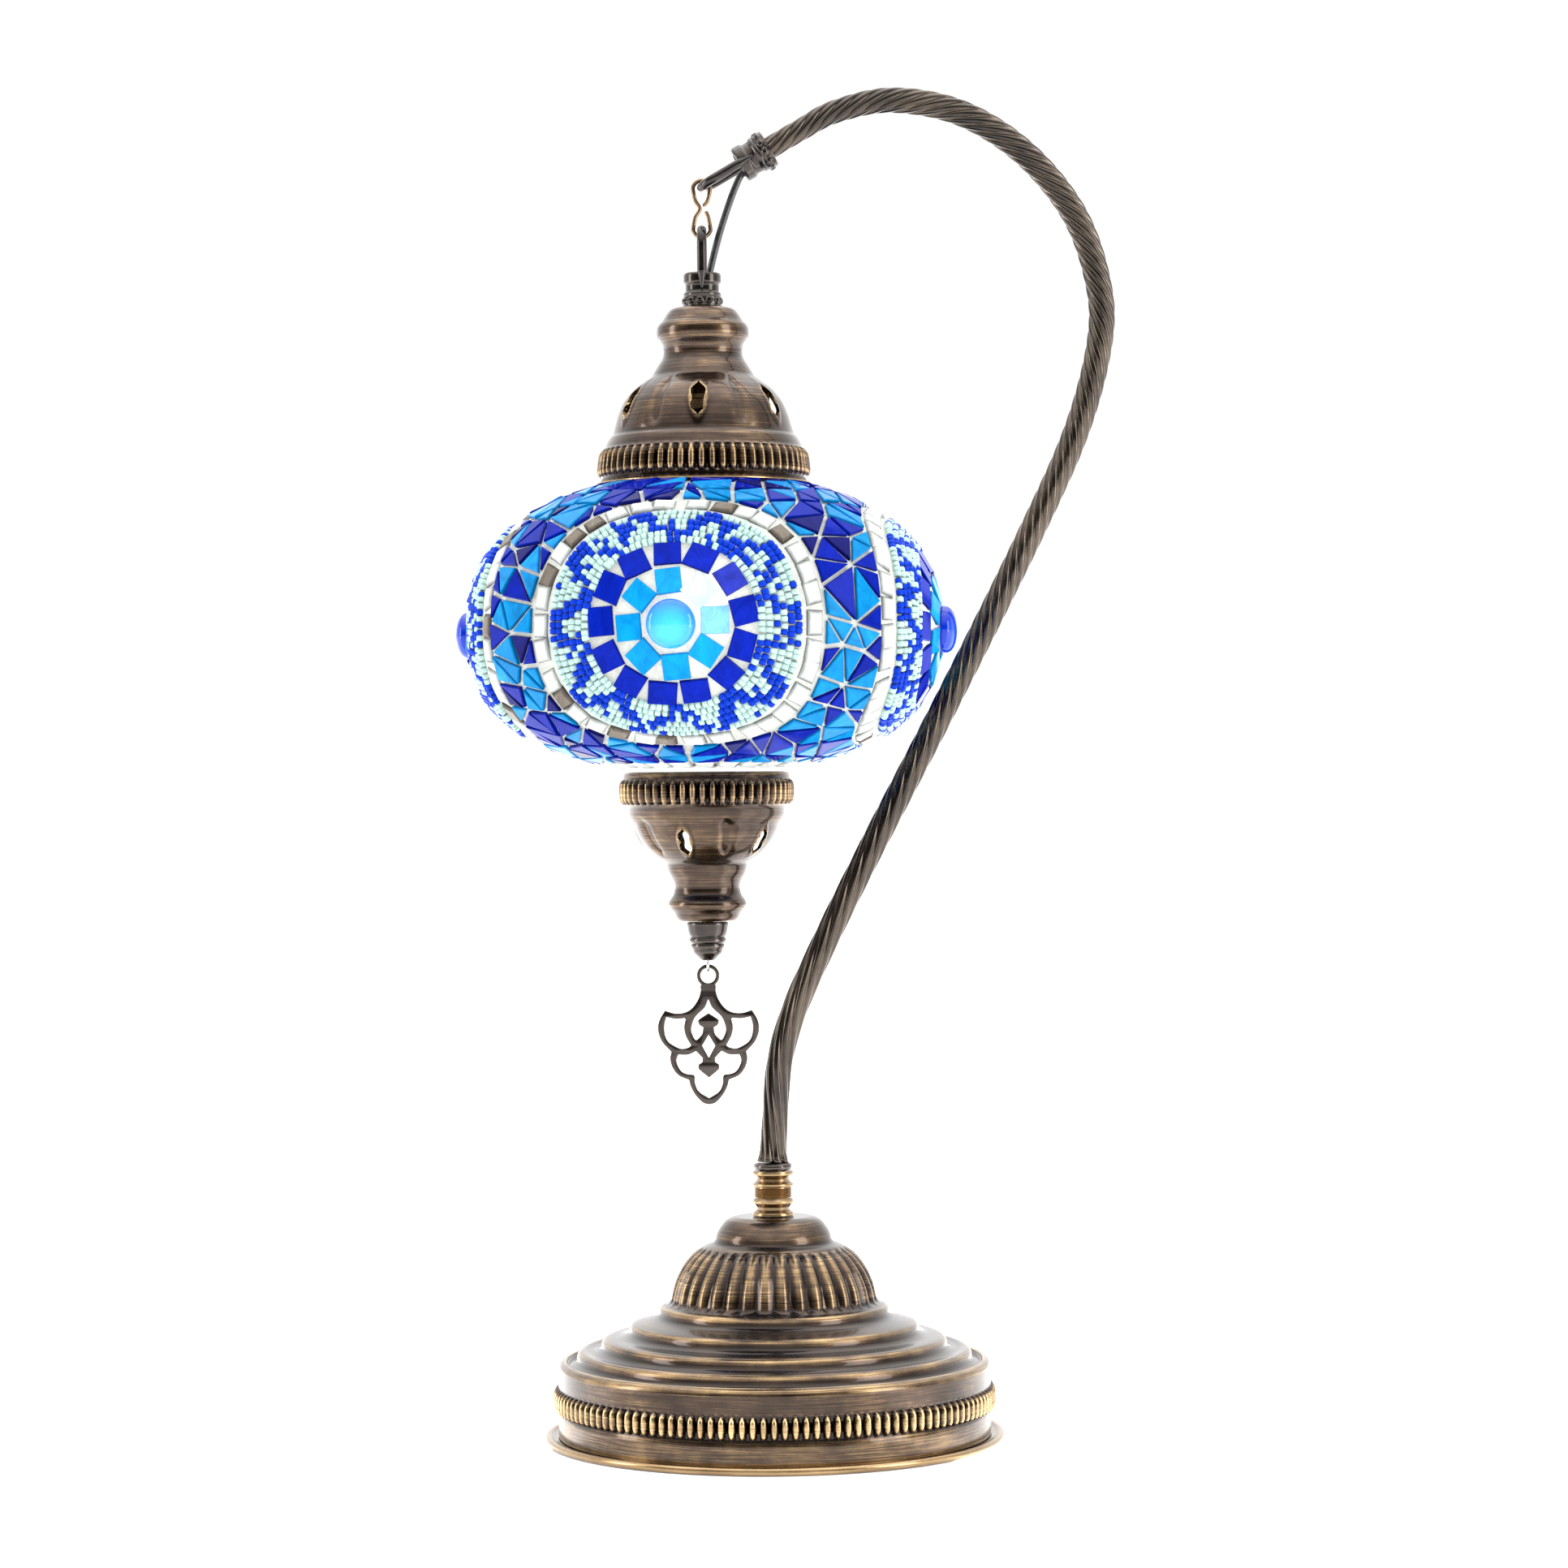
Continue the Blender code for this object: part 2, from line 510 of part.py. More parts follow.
def pierce(cap, count, first_turn, radius, level, height, width):
    """Cut a ring of equal vents."""
    for k in range(count):
        turn = math.radians(first_turn + 360 / count * k)
        boolean(cap, cutter_from(vent(radius, level, height, width), (SHADE_X, 0, 0), (0, 0, turn)))


def make_top():
    """Top cap, the castings on it and the bracket that holds the globe up against it."""
    bail_casting("cap_collar", (SHADE_X, 0, CAST_TOP), None, SHADE)
    hole = NIPPLE_R + GAP
    line = [(hole, 0), (10.2, 0), (12.7, -2.5), (16.0, -7.3), (16.0, -10.2), (13.8, -14.7),
            (14.1, -18.0), (16.8, -22.3), (21.1, -26.3), (26.0, -30.8), (29.2, -36.3),
            (31.6, -44.4), (33.9, -48.3), (35.6, -51.1), (37.0, -55.1), (35.7, -58.6),
            (NECK_R, 1.0 - CAP_DROP), (NECK_R, -CAP_DROP)]
    cap = turned("top_cap", walled([(r, CAP_TOP + z) for r, z in line]), BRONZE, SHADE, MEDIUM)
    pierce(cap, CAP_VENTS, CAP_VENT_TURN, 28.0, CAP_TOP - 33.4, VENT_H, VENT_W)
    nipple_top = CAST_TOP - 9.0
    turned("cap_nipple", ring(NIPPLE_BORE, NIPPLE_R, nipple_top - NIPPLE_L, nipple_top), BRASS, SHADE)
    # Strap across the cap whose bent feet catch under the edge of the glass
    strap_z = CAP_TOP - BRACKET_DOWN
    foot_z = GLOBE_Z + globe_height(TOP_HOLE + 5, GLOBE_R - TILE_T - GLASS_T - GAP,
                                    GLOBE_UP - TILE_T - GLASS_T - GAP) - 2 * GAP
    reach, t = BRACKET_X, BRACKET_T
    half = [(reach, strap_z), (reach, foot_z), (TOP_HOLE + 4, foot_z),
            (TOP_HOLE + 4, foot_z - t), (reach - t, foot_z - t), (reach - t, strap_z - t)]
    outline = half + [(-x, z) for x, z in reversed(half)]
    flat = bpy.data.curves.new("globe_bracket", "CURVE")
    flat.dimensions = "2D"
    flat.fill_mode = "BOTH"
    flat.extrude = BRACKET_W / 2 * MM
    spline = flat.splines.new("POLY")
    spline.points.add(len(outline) - 1)
    for point, (x, z) in zip(spline.points, outline):
        point.co = (x * MM, z * MM, 0, 1)
    spline.use_cyclic_u = True
    blank = cutter_from(flat, (SHADE_X, 0, 0), (math.pi / 2, 0, 0))
    bracket = piece("globe_bracket", blank.data, BRASS, SHADE, (SHADE_X, 0, 0), (math.pi / 2, 0, 0))
    bpy.data.objects.remove(blank, do_unlink=True)
    boolean(bracket, cutter_from(prism(SMALL, hole, strap_z - 5, strap_z + 5), (SHADE_X, 0, 0)))
    hex_nut("cap_nut", hole, CAP_NUT_WALL, strap_z - t - GAP - NUT_T, SHADE, (SHADE_X, 0, 0), BRASS)


def make_lampholder():
    top = CAP_TOP - HOLDER_DOWN
    bore = NIPPLE_R + GAP
    inside = HOLDER_R - HOLDER_T
    cup = [(bore, top), (HOLDER_R - 1.5, top), (HOLDER_R, top - 1.5), (HOLDER_R, top - 15.0),
           (inside, top - 15.0), (inside, top - HOLDER_T), (bore, top - HOLDER_T)]
    turned("lampholder_cap", cup, BLACK, SHADE)
    shell_top = top - 15.0 - GAP
    turned("lampholder_shell", ring(inside, HOLDER_R, shell_top - 27.0, shell_top), BLACK, SHADE)
    sleeve = BULB_NECK + 0.8 + GAP
    outside = inside - GAP
    insert_top = top - 11.0
    insert = [(0, insert_top), (outside, insert_top), (outside, insert_top - 29.0),
              (sleeve + 0.2, insert_top - 29.0), (sleeve + 0.2, insert_top - 5.0), (0, insert_top - 5.0)]
    turned("lampholder_insert", insert, BLACK, SHADE)
    contact = insert_top - 5.0 - GAP
    # Screw cap of the bulb with its tip contact, and the glass envelope set in it
    base = [(0, contact), (2.4, contact), (2.4, contact - 1.6), (BULB_NECK + 0.8, contact - 4.0),
            (BULB_NECK + 0.8, contact - 24.0), (BULB_NECK + GAP, contact - 24.0),
            (BULB_NECK + GAP, contact - 6.0), (0, contact - 6.0)]
    turned("bulb_base", base, STEEL, SHADE)
    middle = CAP_TOP - BULB_DOWN
    globe = [(BULB_NECK, contact - 6.4), (BULB_NECK, contact - 24.5)]
    start = math.asin(0.42)
    globe += [(BULB_R * math.sin(start + (math.pi - start) * k / 6),
               middle + BULB_R * math.cos(start + (math.pi - start) * k / 6)) for k in range(6)]
    wall = 0.8
    inner = [(max(r - wall * r / BULB_R, 0), middle + (z - middle) * (1 - wall / BULB_R))
             for r, z in globe[2:]] + [(0, middle - BULB_R + wall)]
    throat = [(BULB_NECK - wall, z) for _, z in globe[:2]]
    line = globe + [(0, middle - BULB_R)]
    turned("bulb_glass", line + [(0, middle - BULB_R + wall)] + inner[-2::-1] + throat[::-1], OPAL, SHADE)


def globe_line(inset, top_r, bottom_r, steps):
    """Outline of the globe, inset from the mosaic's face, from its top hole to its bottom hole.

    With exponent n, radius = R cos(t)^(2/n) and height = H sin(t)^(2/n).
    """
    belt = GLOBE_R - inset
    line = []
    for half, sign, hole in ((GLOBE_UP, 1, top_r), (GLOBE_DOWN, -1, bottom_r)):
        start = math.acos((hole / belt) ** (ROUND / 2))
        part = []
        for k in range(steps + 1):
            t = start * (1 - k / steps)
            part.append((belt * math.cos(t) ** (2 / ROUND),
                         GLOBE_Z + sign * (half - inset) * math.sin(t) ** (2 / ROUND)))
        line += part[:-1] if sign > 0 else part[::-1]
    return line


def make_globe():
    for name, face, depth, material in (("mosaic_skin", 0, TILE_T, MOSAIC),
                                        ("glass_globe", TILE_T + GAP, GLASS_T, GLASS)):
        outer = globe_line(face, TOP_HOLE, BOTTOM_HOLE, 6)
        inner = globe_line(face + depth, TOP_HOLE, BOTTOM_HOLE, 6)
        turned(name, outer + inner[::-1], material, SHADE, FINE)
    dome = [(0, BOSS_H)] + [(BOSS_R * math.sin(a), BOSS_H * math.cos(a) ** 0.8)
                            for a in (math.pi / 2 * k / 4 for k in range(1, 4))]
    dome += [(BOSS_R, 0.6), (BOSS_R, 0), (0, 0)]
    for k, side in enumerate(("front", "right", "back", "left")):
        turn = math.radians(BOSS_TURN + 90 * k)
        out = GLOBE_R + GAP
        place = (SHADE_X + out * math.sin(turn), -out * math.cos(turn), GLOBE_Z)
        turned("boss_" + side, dome, CABOCHON, SHADE, SMALL, place, (math.pi / 2, 0, turn))


def make_bottom():
    """Bottom cap, the stud and nut that hold the finial, and the eye for the pendant."""
    line = [(BOWL_R, 0), (29.1, -3.0), (30.3, -6.5), (29.9, -9.6), (27.5, -14.2), (26.4, -17.0),
            (24.6, -21.2), (22.1, -25.6), (17.5, -30.1), (14.3, -32.2), (12.0, -38.1), (11.6, -41.6),
            (13.7, -45.9), (12.4, -48.5), (10.6, -BOWL_DROP), (STUD_R + GAP, -BOWL_DROP)]
    cap = turned("bottom_cap", walled([(r, BOWL_RIM + z) for r, z in line]), BRONZE, SHADE, MEDIUM)
    pierce(cap, BOWL_VENTS, BOWL_VENT_TURN, 23.0, BOWL_RIM - 24.6, 9.6, 4.4)
    bond_top = BOWL_RIM + GAP
    turned("bottom_bond", ring(BOTTOM_HOLE + 0.5, BOWL_R - SHEET - 2 * GAP, bond_top - 1.4, bond_top),
           SILICONE, SHADE, MEDIUM)
    stud_low = FINIAL_TOP - 5.5
    turned("finial_stud", [(0, stud_low + STUD_L), (STUD_R, stud_low + STUD_L), (STUD_R, stud_low),
                           (0, stud_low)], BRASS, SHADE)
    hex_nut("stud_nut", STUD_R + GAP, STUD_NUT_WALL, BOWL_FOOT + SHEET + GAP, SHADE,
            (SHADE_X, 0, 0), BRASS)
    bore = STUD_R + GAP
    pin = EYE_WIRE + GAP
    top = FINIAL_TOP
    finial = [(bore, top), (7.4, top), (6.6, top - 4.6), (6.1, top - 5.4), (6.5, top - 6.6),
              (5.7, top - 7.6), (5.9, top - 8.6), (5.2, top - 10.0), (4.7, top - 11.1),
              (2.4, FINIAL_FOOT), (pin, FINIAL_FOOT), (pin, stud_low - GAP), (bore, stud_low - GAP)]
    body = turned("finial", finial, GUNMETAL, SHADE)
    # Slot across the foot of the finial, in which the top of the eye sits
    slot_top = EYE_Z + 2 * EYE_RING + EYE_WIRE + GAP
    slot_low = FINIAL_FOOT - 2
    slot = block((2 * pin, 16, slot_top - slot_low), (SHADE_X, 0, (slot_top + slot_low) / 2))
    boolean(body, cutter_from(slot))
    middle = EYE_Z + EYE_RING
    eye = [(0, EYE_RING * math.sin(a), middle + EYE_RING * math.cos(a))
           for a in (math.radians(25 + (360 - 40) * k / 14) for k in range(15))]
    shank = [(0, 0, stud_low - 2 * GAP), (0, 0, middle + EYE_RING + 0.4)]
    piece("eye_pin", polyline("eye_pin", shank + eye, EYE_WIRE), STEEL, SHADE, (SHADE_X, 0, 0))


# Half outlines of the pendant, right side, from its ring downwards; y is below the ring's middle
RIM = [(2.9, -3.4), (2.65, -5.1), (3.4, -7.8), (5.3, -10.8), (7.6, -12.5), (10.2, -13.1), (12.5, -12.9),
       (15.2, -12.0), (17.1, -15.3), (17.7, -18.8), (16.3, -22.9), (13.1, -26.5), (13.5, -29.0),
       (12.7, -32.0), (10.6, -34.7), (7.0, -36.3), (6.5, -38.4), (4.9, -41.5), (2.3, -44.2), (0.0, -44.9)]
ARCH = [(0.0, -8.3), (1.3, -11.2), (4.4, -14.2), (5.7, -17.2), (5.9, -19.5), (4.7, -22.2), (3.9, -22.1),
        (2.3, -20.3), (1.9, -18.0), (3.2, -17.2), (3.7, -15.9), (3.2, -15.1), (0.0, -13.0)]
DIAMOND = [(0.0, -20.7), (2.2, -24.4), (0.0, -28.6)]
WING = [(8.3, -14.8), (11.4, -15.0), (14.6, -14.4), (15.3, -17.2), (15.1, -20.6), (14.0, -22.9),
        (11.9, -24.4), (9.5, -25.4), (7.2, -25.0), (6.2, -24.3), (8.0, -21.0), (8.6, -18.0), (8.1, -15.3)]
HEART = [(4.4, -26.3), (7.2, -27.5), (10.6, -27.5), (11.2, -29.8), (9.9, -32.8), (8.0, -34.1), (5.3, -34.5),
         (4.8, -35.4), (4.7, -37.7), (3.4, -40.4), (0.0, -42.6)]
SPADE = [(0.0, -35.6), (3.4, -32.8), (3.8, -32.2), (3.6, -30.9), (2.3, -30.1), (2.3, -28.6)]


def make_pendant():
    """Flat pierced drop: one outline with a ring on top and six openings."""
    def both(half):
        return half + [(-x, y) for x, y in reversed(half) if x]

    crown = [(RING_OUT * math.cos(a), RING_OUT * math.sin(a))
             for a in (math.radians(-50 + 280 * k / 12) for k in range(13))]
    hole = [(RING_IN * math.cos(a), RING_IN * math.sin(a)) for a in (math.tau * k / 12 for k in range(12))]
    left = [(-x, y) for x, y in reversed(RIM[1:-1])]
    # The lowest opening runs round a spade that stands in it on its stem
    heart = both(HEART) + [(-x, y) for x, y in reversed(SPADE)] + SPADE[1:]
    openings = [crown[::-1] + RIM[1:] + left, hole, both(ARCH), both(DIAMOND),
                WING, [(-x, y) for x, y in WING], heart]
    curve = bpy.data.curves.new("ornament", "CURVE")
    curve.dimensions = "2D"
    curve.fill_mode = "BOTH"
    curve.extrude = PENDANT_T / 2 * MM
    for outline in openings:
        spline = curve.splines.new("POLY")
        spline.points.add(len(outline) - 1)
        for point, (x, y) in zip(spline.points, outline):
            point.co = (x * MM, y * MM, 0, 1)
        spline.use_cyclic_u = True
    blank = cutter_from(curve)
    place = (SHADE_X, 0, RING_Z)
    piece("ornament", blank.data, GUNMETAL, PENDANT, place, (math.pi / 2, 0, 0))
    bpy.data.objects.remove(blank, do_unlink=True)


def smooth_round_pieces():
    for thing in PARTS.objects:
        if thing.type == "MESH" and len(thing.data.polygons):
            thing.data.shade_smooth()
            thing.data.set_sharp_from_angle(angle=math.radians(35))


make_base()
make_stem()
make_arm()
make_cables()
make_hook()
make_top()
make_lampholder()
make_globe()
make_bottom()
make_pendant()
smooth_round_pieces()
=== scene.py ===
import math

import bmesh
import bpy
import numpy as np
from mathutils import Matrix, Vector
from mathutils.geometry import delaunay_2d_cdt


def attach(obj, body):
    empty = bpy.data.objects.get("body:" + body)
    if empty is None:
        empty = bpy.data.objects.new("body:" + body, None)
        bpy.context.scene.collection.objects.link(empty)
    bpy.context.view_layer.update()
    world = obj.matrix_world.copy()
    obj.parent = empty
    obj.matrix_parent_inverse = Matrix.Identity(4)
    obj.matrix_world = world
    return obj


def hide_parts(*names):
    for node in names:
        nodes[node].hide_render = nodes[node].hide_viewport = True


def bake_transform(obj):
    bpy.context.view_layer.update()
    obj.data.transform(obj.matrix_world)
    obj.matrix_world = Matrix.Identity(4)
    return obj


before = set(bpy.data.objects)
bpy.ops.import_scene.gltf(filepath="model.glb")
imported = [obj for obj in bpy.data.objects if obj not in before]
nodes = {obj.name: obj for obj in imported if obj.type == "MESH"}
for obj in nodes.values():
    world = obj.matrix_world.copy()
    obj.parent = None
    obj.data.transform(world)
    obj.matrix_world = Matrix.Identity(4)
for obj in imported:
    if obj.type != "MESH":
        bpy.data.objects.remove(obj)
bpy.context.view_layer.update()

# ---- Where the lamp is seen from, and the light tent ----
# The lamp stands on a wide pale floor inside a white light tent. The tent is bright at the sides
# and behind and dim in front, with one strong soft light right of the front and a weaker one left.
scene = bpy.context.scene
scene.view_settings.view_transform = "Standard"
lens = bpy.data.cameras.new("camera")
lens.lens, lens.sensor_width = 94.17, 36
lens.clip_start, lens.clip_end = 0.01, 100
camera = bpy.data.objects.new("camera", lens)
camera.location = (0.005, -1.429, 0.228)
camera.rotation_euler = (math.pi / 2, 0.0085, 0)
scene.collection.objects.link(camera)
scene.camera = camera


def add(tree, kind, **given):
    """New shader node. Names in capitals first are sockets, and the others the node's own settings."""
    made = tree.nodes.new("ShaderNode" + kind)
    for key, value in given.items():
        if not (key[0].isupper() or key[0] == "_"):
            setattr(made, key, value)
    for key, value in given.items():
        if key[0].isupper() or key[0] == "_":
            name = key.strip("_").replace("_", " ")
            socket = made.inputs[int(name)] if name.isdigit() else made.inputs[name]
            if isinstance(value, bpy.types.NodeSocket):
                tree.links.new(value, socket)
            else:
                socket.default_value = value
    return made


def tune(tree, value, low, high, out_low, out_high):
    """A value moved from one range to another, held at its ends."""
    return add(tree, "MapRange", Value=value, From_Min=low, From_Max=high,
               To_Min=out_low, To_Max=out_high).outputs[0]


def ramp(tree, value, stops):
    """Colour that runs through stops of (place, (r, g, b))."""
    made = add(tree, "ValToRGB", _0=value)
    band = made.color_ramp.elements
    while len(band) < len(stops):
        band.new(0.5)
    for element, (place, colour) in zip(band, stops):
        element.position, element.color = place, (*colour, 1)
    return made.outputs[0]


tent = bpy.data.worlds.new("tent")
scene.world = tent
tent.use_nodes = True
sky = tent.node_tree
sky.nodes.clear()
facing = add(sky, "SeparateXYZ", _0=add(sky, "TexCoord").outputs["Generated"])
around = add(sky, "Math", operation="ADD", _0=tune(sky, facing.outputs["Y"], -0.8, -0.1, 0.10, 0.70),
             _1=tune(sky, facing.outputs["Y"], -0.15, 0.4, 0.0, 0.75)).outputs[0]
above = tune(sky, facing.outputs["Z"], 0.25, 0.8, 0.0, 2.4)
level = add(sky, "Math", operation="MAXIMUM", _0=around, _1=above).outputs[0]
seen = add(sky, "LightPath").outputs["Is Camera Ray"]
shown = add(sky, "Mix", data_type="FLOAT", _0=seen, _2=level, _3=1.05).outputs[0]
add(sky, "OutputWorld", Surface=add(sky, "Background", Color=(1.0, 1.0, 1.0, 1), Strength=shown).outputs[0])

for label, place, width, height, power in (("softbox_right", (1.35, -0.74, 0.55), 0.60, 1.1, 13.0),
                                           ("softbox_left", (-1.55, -0.22, 0.5), 0.38, 1.0, 9.0),
                                           ("softbox_top", (0.0, 0.10, 1.6), 1.6, 1.2, 7.0)):
    lamp = bpy.data.lights.new(label, "AREA")
    lamp.shape, lamp.size, lamp.size_y, lamp.energy = "RECTANGLE", width, height, power
    stand = bpy.data.objects.new(label, lamp)
    stand.location = place
    stand.rotation_euler = (Vector((-0.01, 0, 0.23)) - Vector(place)).to_track_quat("-Z", "Y").to_euler()
    scene.collection.objects.link(stand)


def finish(name, **values):
    """New material with the same value all over in its shader's own sockets."""
    made = bpy.data.materials.new(name)
    made.use_nodes = True
    shader = made.node_tree.nodes["Principled BSDF"]
    for key, value in values.items():
        shader.inputs[key.replace("_", " ")].default_value = value
    return made, made.node_tree, shader


paper, tree, shader = finish("floor_paper", Roughness=0.9, Specular_IOR_Level=0.1)
grain = add(tree, "TexNoise", Scale=9.0, Detail=3.0).outputs[0]
tree.links.new(ramp(tree, grain, ((0.0, (0.90, 0.90, 0.90)), (1.0, (0.95, 0.95, 0.95)))),
               shader.inputs["Base Color"])
shader.inputs["Emission Color"].default_value = (1, 1, 1, 1)
spot = add(tree, "SeparateXYZ", _0=add(tree, "TexCoord").outputs["Object"])
bearing = add(tree, "Math", operation="ARCTAN2", _0=spot.outputs["X"],
              _1=add(tree, "Math", operation="MULTIPLY", _0=spot.outputs["Y"],
                     _1=-1.0).outputs[0]).outputs[0]
bearing = tune(tree, bearing, -math.pi, math.pi, 0.0, 1.0)
# Painted light and shade on the floor round the lamp: its glow is dark over a wide sector in front, bright
# in bands to the left and right, and middling behind.
painted_floor_light = ramp(tree, bearing, [(at, (grey, grey, grey)) for at, grey in (
    (0.0, 0.42), (0.22, 0.42), (0.27, 0.80), (0.295, 0.08), (0.635, 0.08), (0.65, 0.85), (0.70, 0.85),
    (0.72, 0.30), (1.0, 0.42))])
tree.links.new(add(tree, "Math", operation="MULTIPLY", _0=painted_floor_light, _1=2.2).outputs[0],
               shader.inputs["Emission Strength"])
bpy.ops.mesh.primitive_circle_add(vertices=96, radius=14, fill_type="NGON", location=(0, 0, 0))
floor = bpy.context.object
floor.name = "floor"
floor.data.materials.append(paper)

# ---- The cable between the arm and the shade ----
# A flat twin cable in black plastic. It leaves the mouth of the arm's casting under the bail, hangs
# in one easy bow past the hook and goes down into the casting on the cap. Both its ends are held.
MM = 0.001
SHADE_X = -21.992       # the shade's upright axis
WIRE_R, WIRE_APART = 1.3, 0.95


def bow(points, spacing):
    """Catmull-Rom curve through points, read off at even distances.

    Between b and c, with neighbours a and d: half of 2b + (c-a)t + (2a-5b+4c-d)t^2 + (3b-a-3c+d)t^3.
    """
    p = np.array(points, float)
    p = np.vstack([2 * p[0] - p[1], p, 2 * p[-1] - p[-2]])
    t = np.linspace(0, 1, 24, endpoint=False)[:, None]
    a, b, c, d = (p[k:len(p) - 3 + k, None, :] for k in range(4))
    curve = 0.5 * (2 * b + (c - a) * t + (2 * a - 5 * b + 4 * c - d) * t ** 2 + (3 * b - a - 3 * c + d)
                   * t ** 3)
    curve = np.vstack([curve.reshape(-1, p.shape[1]), p[-2]])
    run = np.concatenate([[0], np.cumsum(np.linalg.norm(np.diff(curve, axis=0), axis=1))])
    even = np.linspace(0, run[-1], max(2, round(run[-1] / spacing) + 1))
    return np.stack([np.interp(even, run, curve[:, k]) for k in range(p.shape[1])], axis=1)


def rings_along(path, out, side):
    """Rings of a section carried along a path that lies in the XZ plane.

    point = path + out * (Y x tangent) + side * Y, where out and side have one row for each path point.
    """
    tangent = np.gradient(path, axis=0)
    tangent /= np.linalg.norm(tangent, axis=1)[:, None]
    across = np.cross((0, 1, 0), tangent)
    return path[:, None, :] + out[..., None] * across[:, None, :] + side[..., None] * np.array((0, 1, 0))


def skin(rings, closed=False):
    """Points and faces of a skin over rings, from the first to the last.

    Rings of one size are joined by quads. Where the size changes, each edge of a ring makes a triangle
    with the point of the other ring that is nearest in turn. A ring of one point is a pole. Rings run
    anticlockwise seen from the side they start on. If closed, the last ring joins the first.
    """
    counts = [len(r) for r in rings]
    first = np.concatenate([[0], np.cumsum(counts)])
    quads, tris = [], []
    pairs = [(k, k + 1) for k in range(len(rings) - 1)] + ([(len(rings) - 1, 0)] if closed else [])
    for k, j in pairs:
        n, m, a, b = counts[k], counts[j], first[k], first[j]
        i, e = np.arange(n), np.arange(m)
        if n == m and n > 1:
            quads.append(np.stack([a + i, b + i, b + (i + 1) % n, a + (i + 1) % n], axis=1))
            continue
        up, low = (i + 0.5) / n, (e + 0.5) / m
        if n > 1:
            tris.append(np.stack([a + i, b + np.searchsorted(low, up, "left") % m, a + (i + 1) % n],
                                 axis=1))
        if m > 1:
            tris.append(np.stack([b + e, b + (e + 1) % m, a + np.searchsorted(up, low, "right") % n],
                                 axis=1))
    return np.vstack(rings), [np.vstack(f) for f in (quads, tris) if f]


def joined(*shapes):
    """Several sets of points and faces as one set."""
    points, faces, start = [], [], 0
    for p, sets in shapes:
        points.append(p)
        faces += [f + start for f in sets]
        start += len(p)
    return np.vstack(points), faces


def bumped(tree, shader, height, strength, distance):
    """Small relief from a height field; distance in metres is the height that 1 stands for."""
    tree.links.new(add(tree, "Bump", Strength=strength, Distance=distance, Height=height).outputs[0],
                   shader.inputs["Normal"])


def make(name, shape, material, body, stands_for=(), sharp=35):
    """Mesh object from points in millimetres and arrays of faces, riding on a body."""
    points, faces = shape
    mesh = bpy.data.meshes.new(name)
    corners = np.concatenate([f.ravel() for f in faces]).astype(np.int32)
    sizes = np.concatenate([np.full(len(f), f.shape[1]) for f in faces])
    mesh.vertices.add(len(points))
    mesh.vertices.foreach_set("co", (np.asarray(points, float) * MM).ravel())
    mesh.loops.add(len(corners))
    mesh.loops.foreach_set("vertex_index", corners)
    mesh.polygons.add(len(sizes))
    mesh.polygons.foreach_set("loop_start", np.concatenate([[0], np.cumsum(sizes)[:-1]]).astype(np.int32))
    mesh.update(calc_edges=True)
    mesh.validate()
    mesh.shade_smooth()
    if sharp:
        mesh.set_sharp_from_angle(angle=math.radians(sharp))
    mesh.materials.append(material)
    thing = bpy.data.objects.new(name, mesh)
    scene.collection.objects.link(thing)
    if body:
        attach(thing, body)
    if stands_for:
        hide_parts(*stands_for)
    return thing


pvc, tree, shader = finish("black_cable", Coat_Weight=0.3, Coat_Roughness=0.2, Specular_IOR_Level=0.5)
place = add(tree, "TexCoord").outputs["Object"]
grain = add(tree, "TexNoise", Vector=place, Scale=700.0, Detail=4.0).outputs[0]
tree.links.new(ramp(tree, grain, ((0.3, (0.003, 0.003, 0.004)), (0.8, (0.010, 0.010, 0.012)))),
               shader.inputs["Base Color"])
tree.links.new(tune(tree, grain, 0.3, 0.7, 0.28, 0.45), shader.inputs["Roughness"])
bumped(tree, shader, grain, 0.15, 0.0002)

LEAVES, ENTERS = np.array((-7.529, 0, 441.157)), np.array((-19.392, 0, 406.109))
hang = bow([LEAVES, (-8.568, 0, 439.557), (-11.429, 0, 432.857), (-14.929, 0, 422.757),
            (-17.494, 0, 413.82), ENTERS], 0.6)
half = len(hang) // 2


def twin(path):
    """Flat twin section: two round wires that touch, so half-width = 0.95 |sin| side + a round of 1.3."""
    turn = np.linspace(0, 2 * np.pi, 32, endpoint=False)
    side = (WIRE_R * np.sin(turn)
            + WIRE_APART * np.sign(np.round(np.sin(turn), 6)) * np.abs(np.sin(turn)) ** 0.3)
    out = WIRE_R * np.cos(turn) * (1 - 0.06 * np.abs(np.cos(turn)) ** 6)
    grid = np.ones((len(path), 1))
    return skin([path[:1]] + list(rings_along(path, out * grid, side * grid)) + [path[-1:]])


cable_upper = make("cable_upper_half", twin(hang[:half + 1]), pvc, None, ["cable_span"])
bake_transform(cable_upper)
cable_lower = make("cable_lower_half", twin(hang[half:]), pvc, None, ["cable_span"])
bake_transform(cable_lower)

# ---- The base ----
# A shell pressed and spun from sheet brass: flat top, fluted dome, five rounded steps, an upright
# wall with a band of pressed almonds. It is plated dark, rubbed back to gold on every edge, brushed
# round and lacquered. It stands in a shallow tray with a rolled rim, over a disc of black felt.
SHEET = 0.8


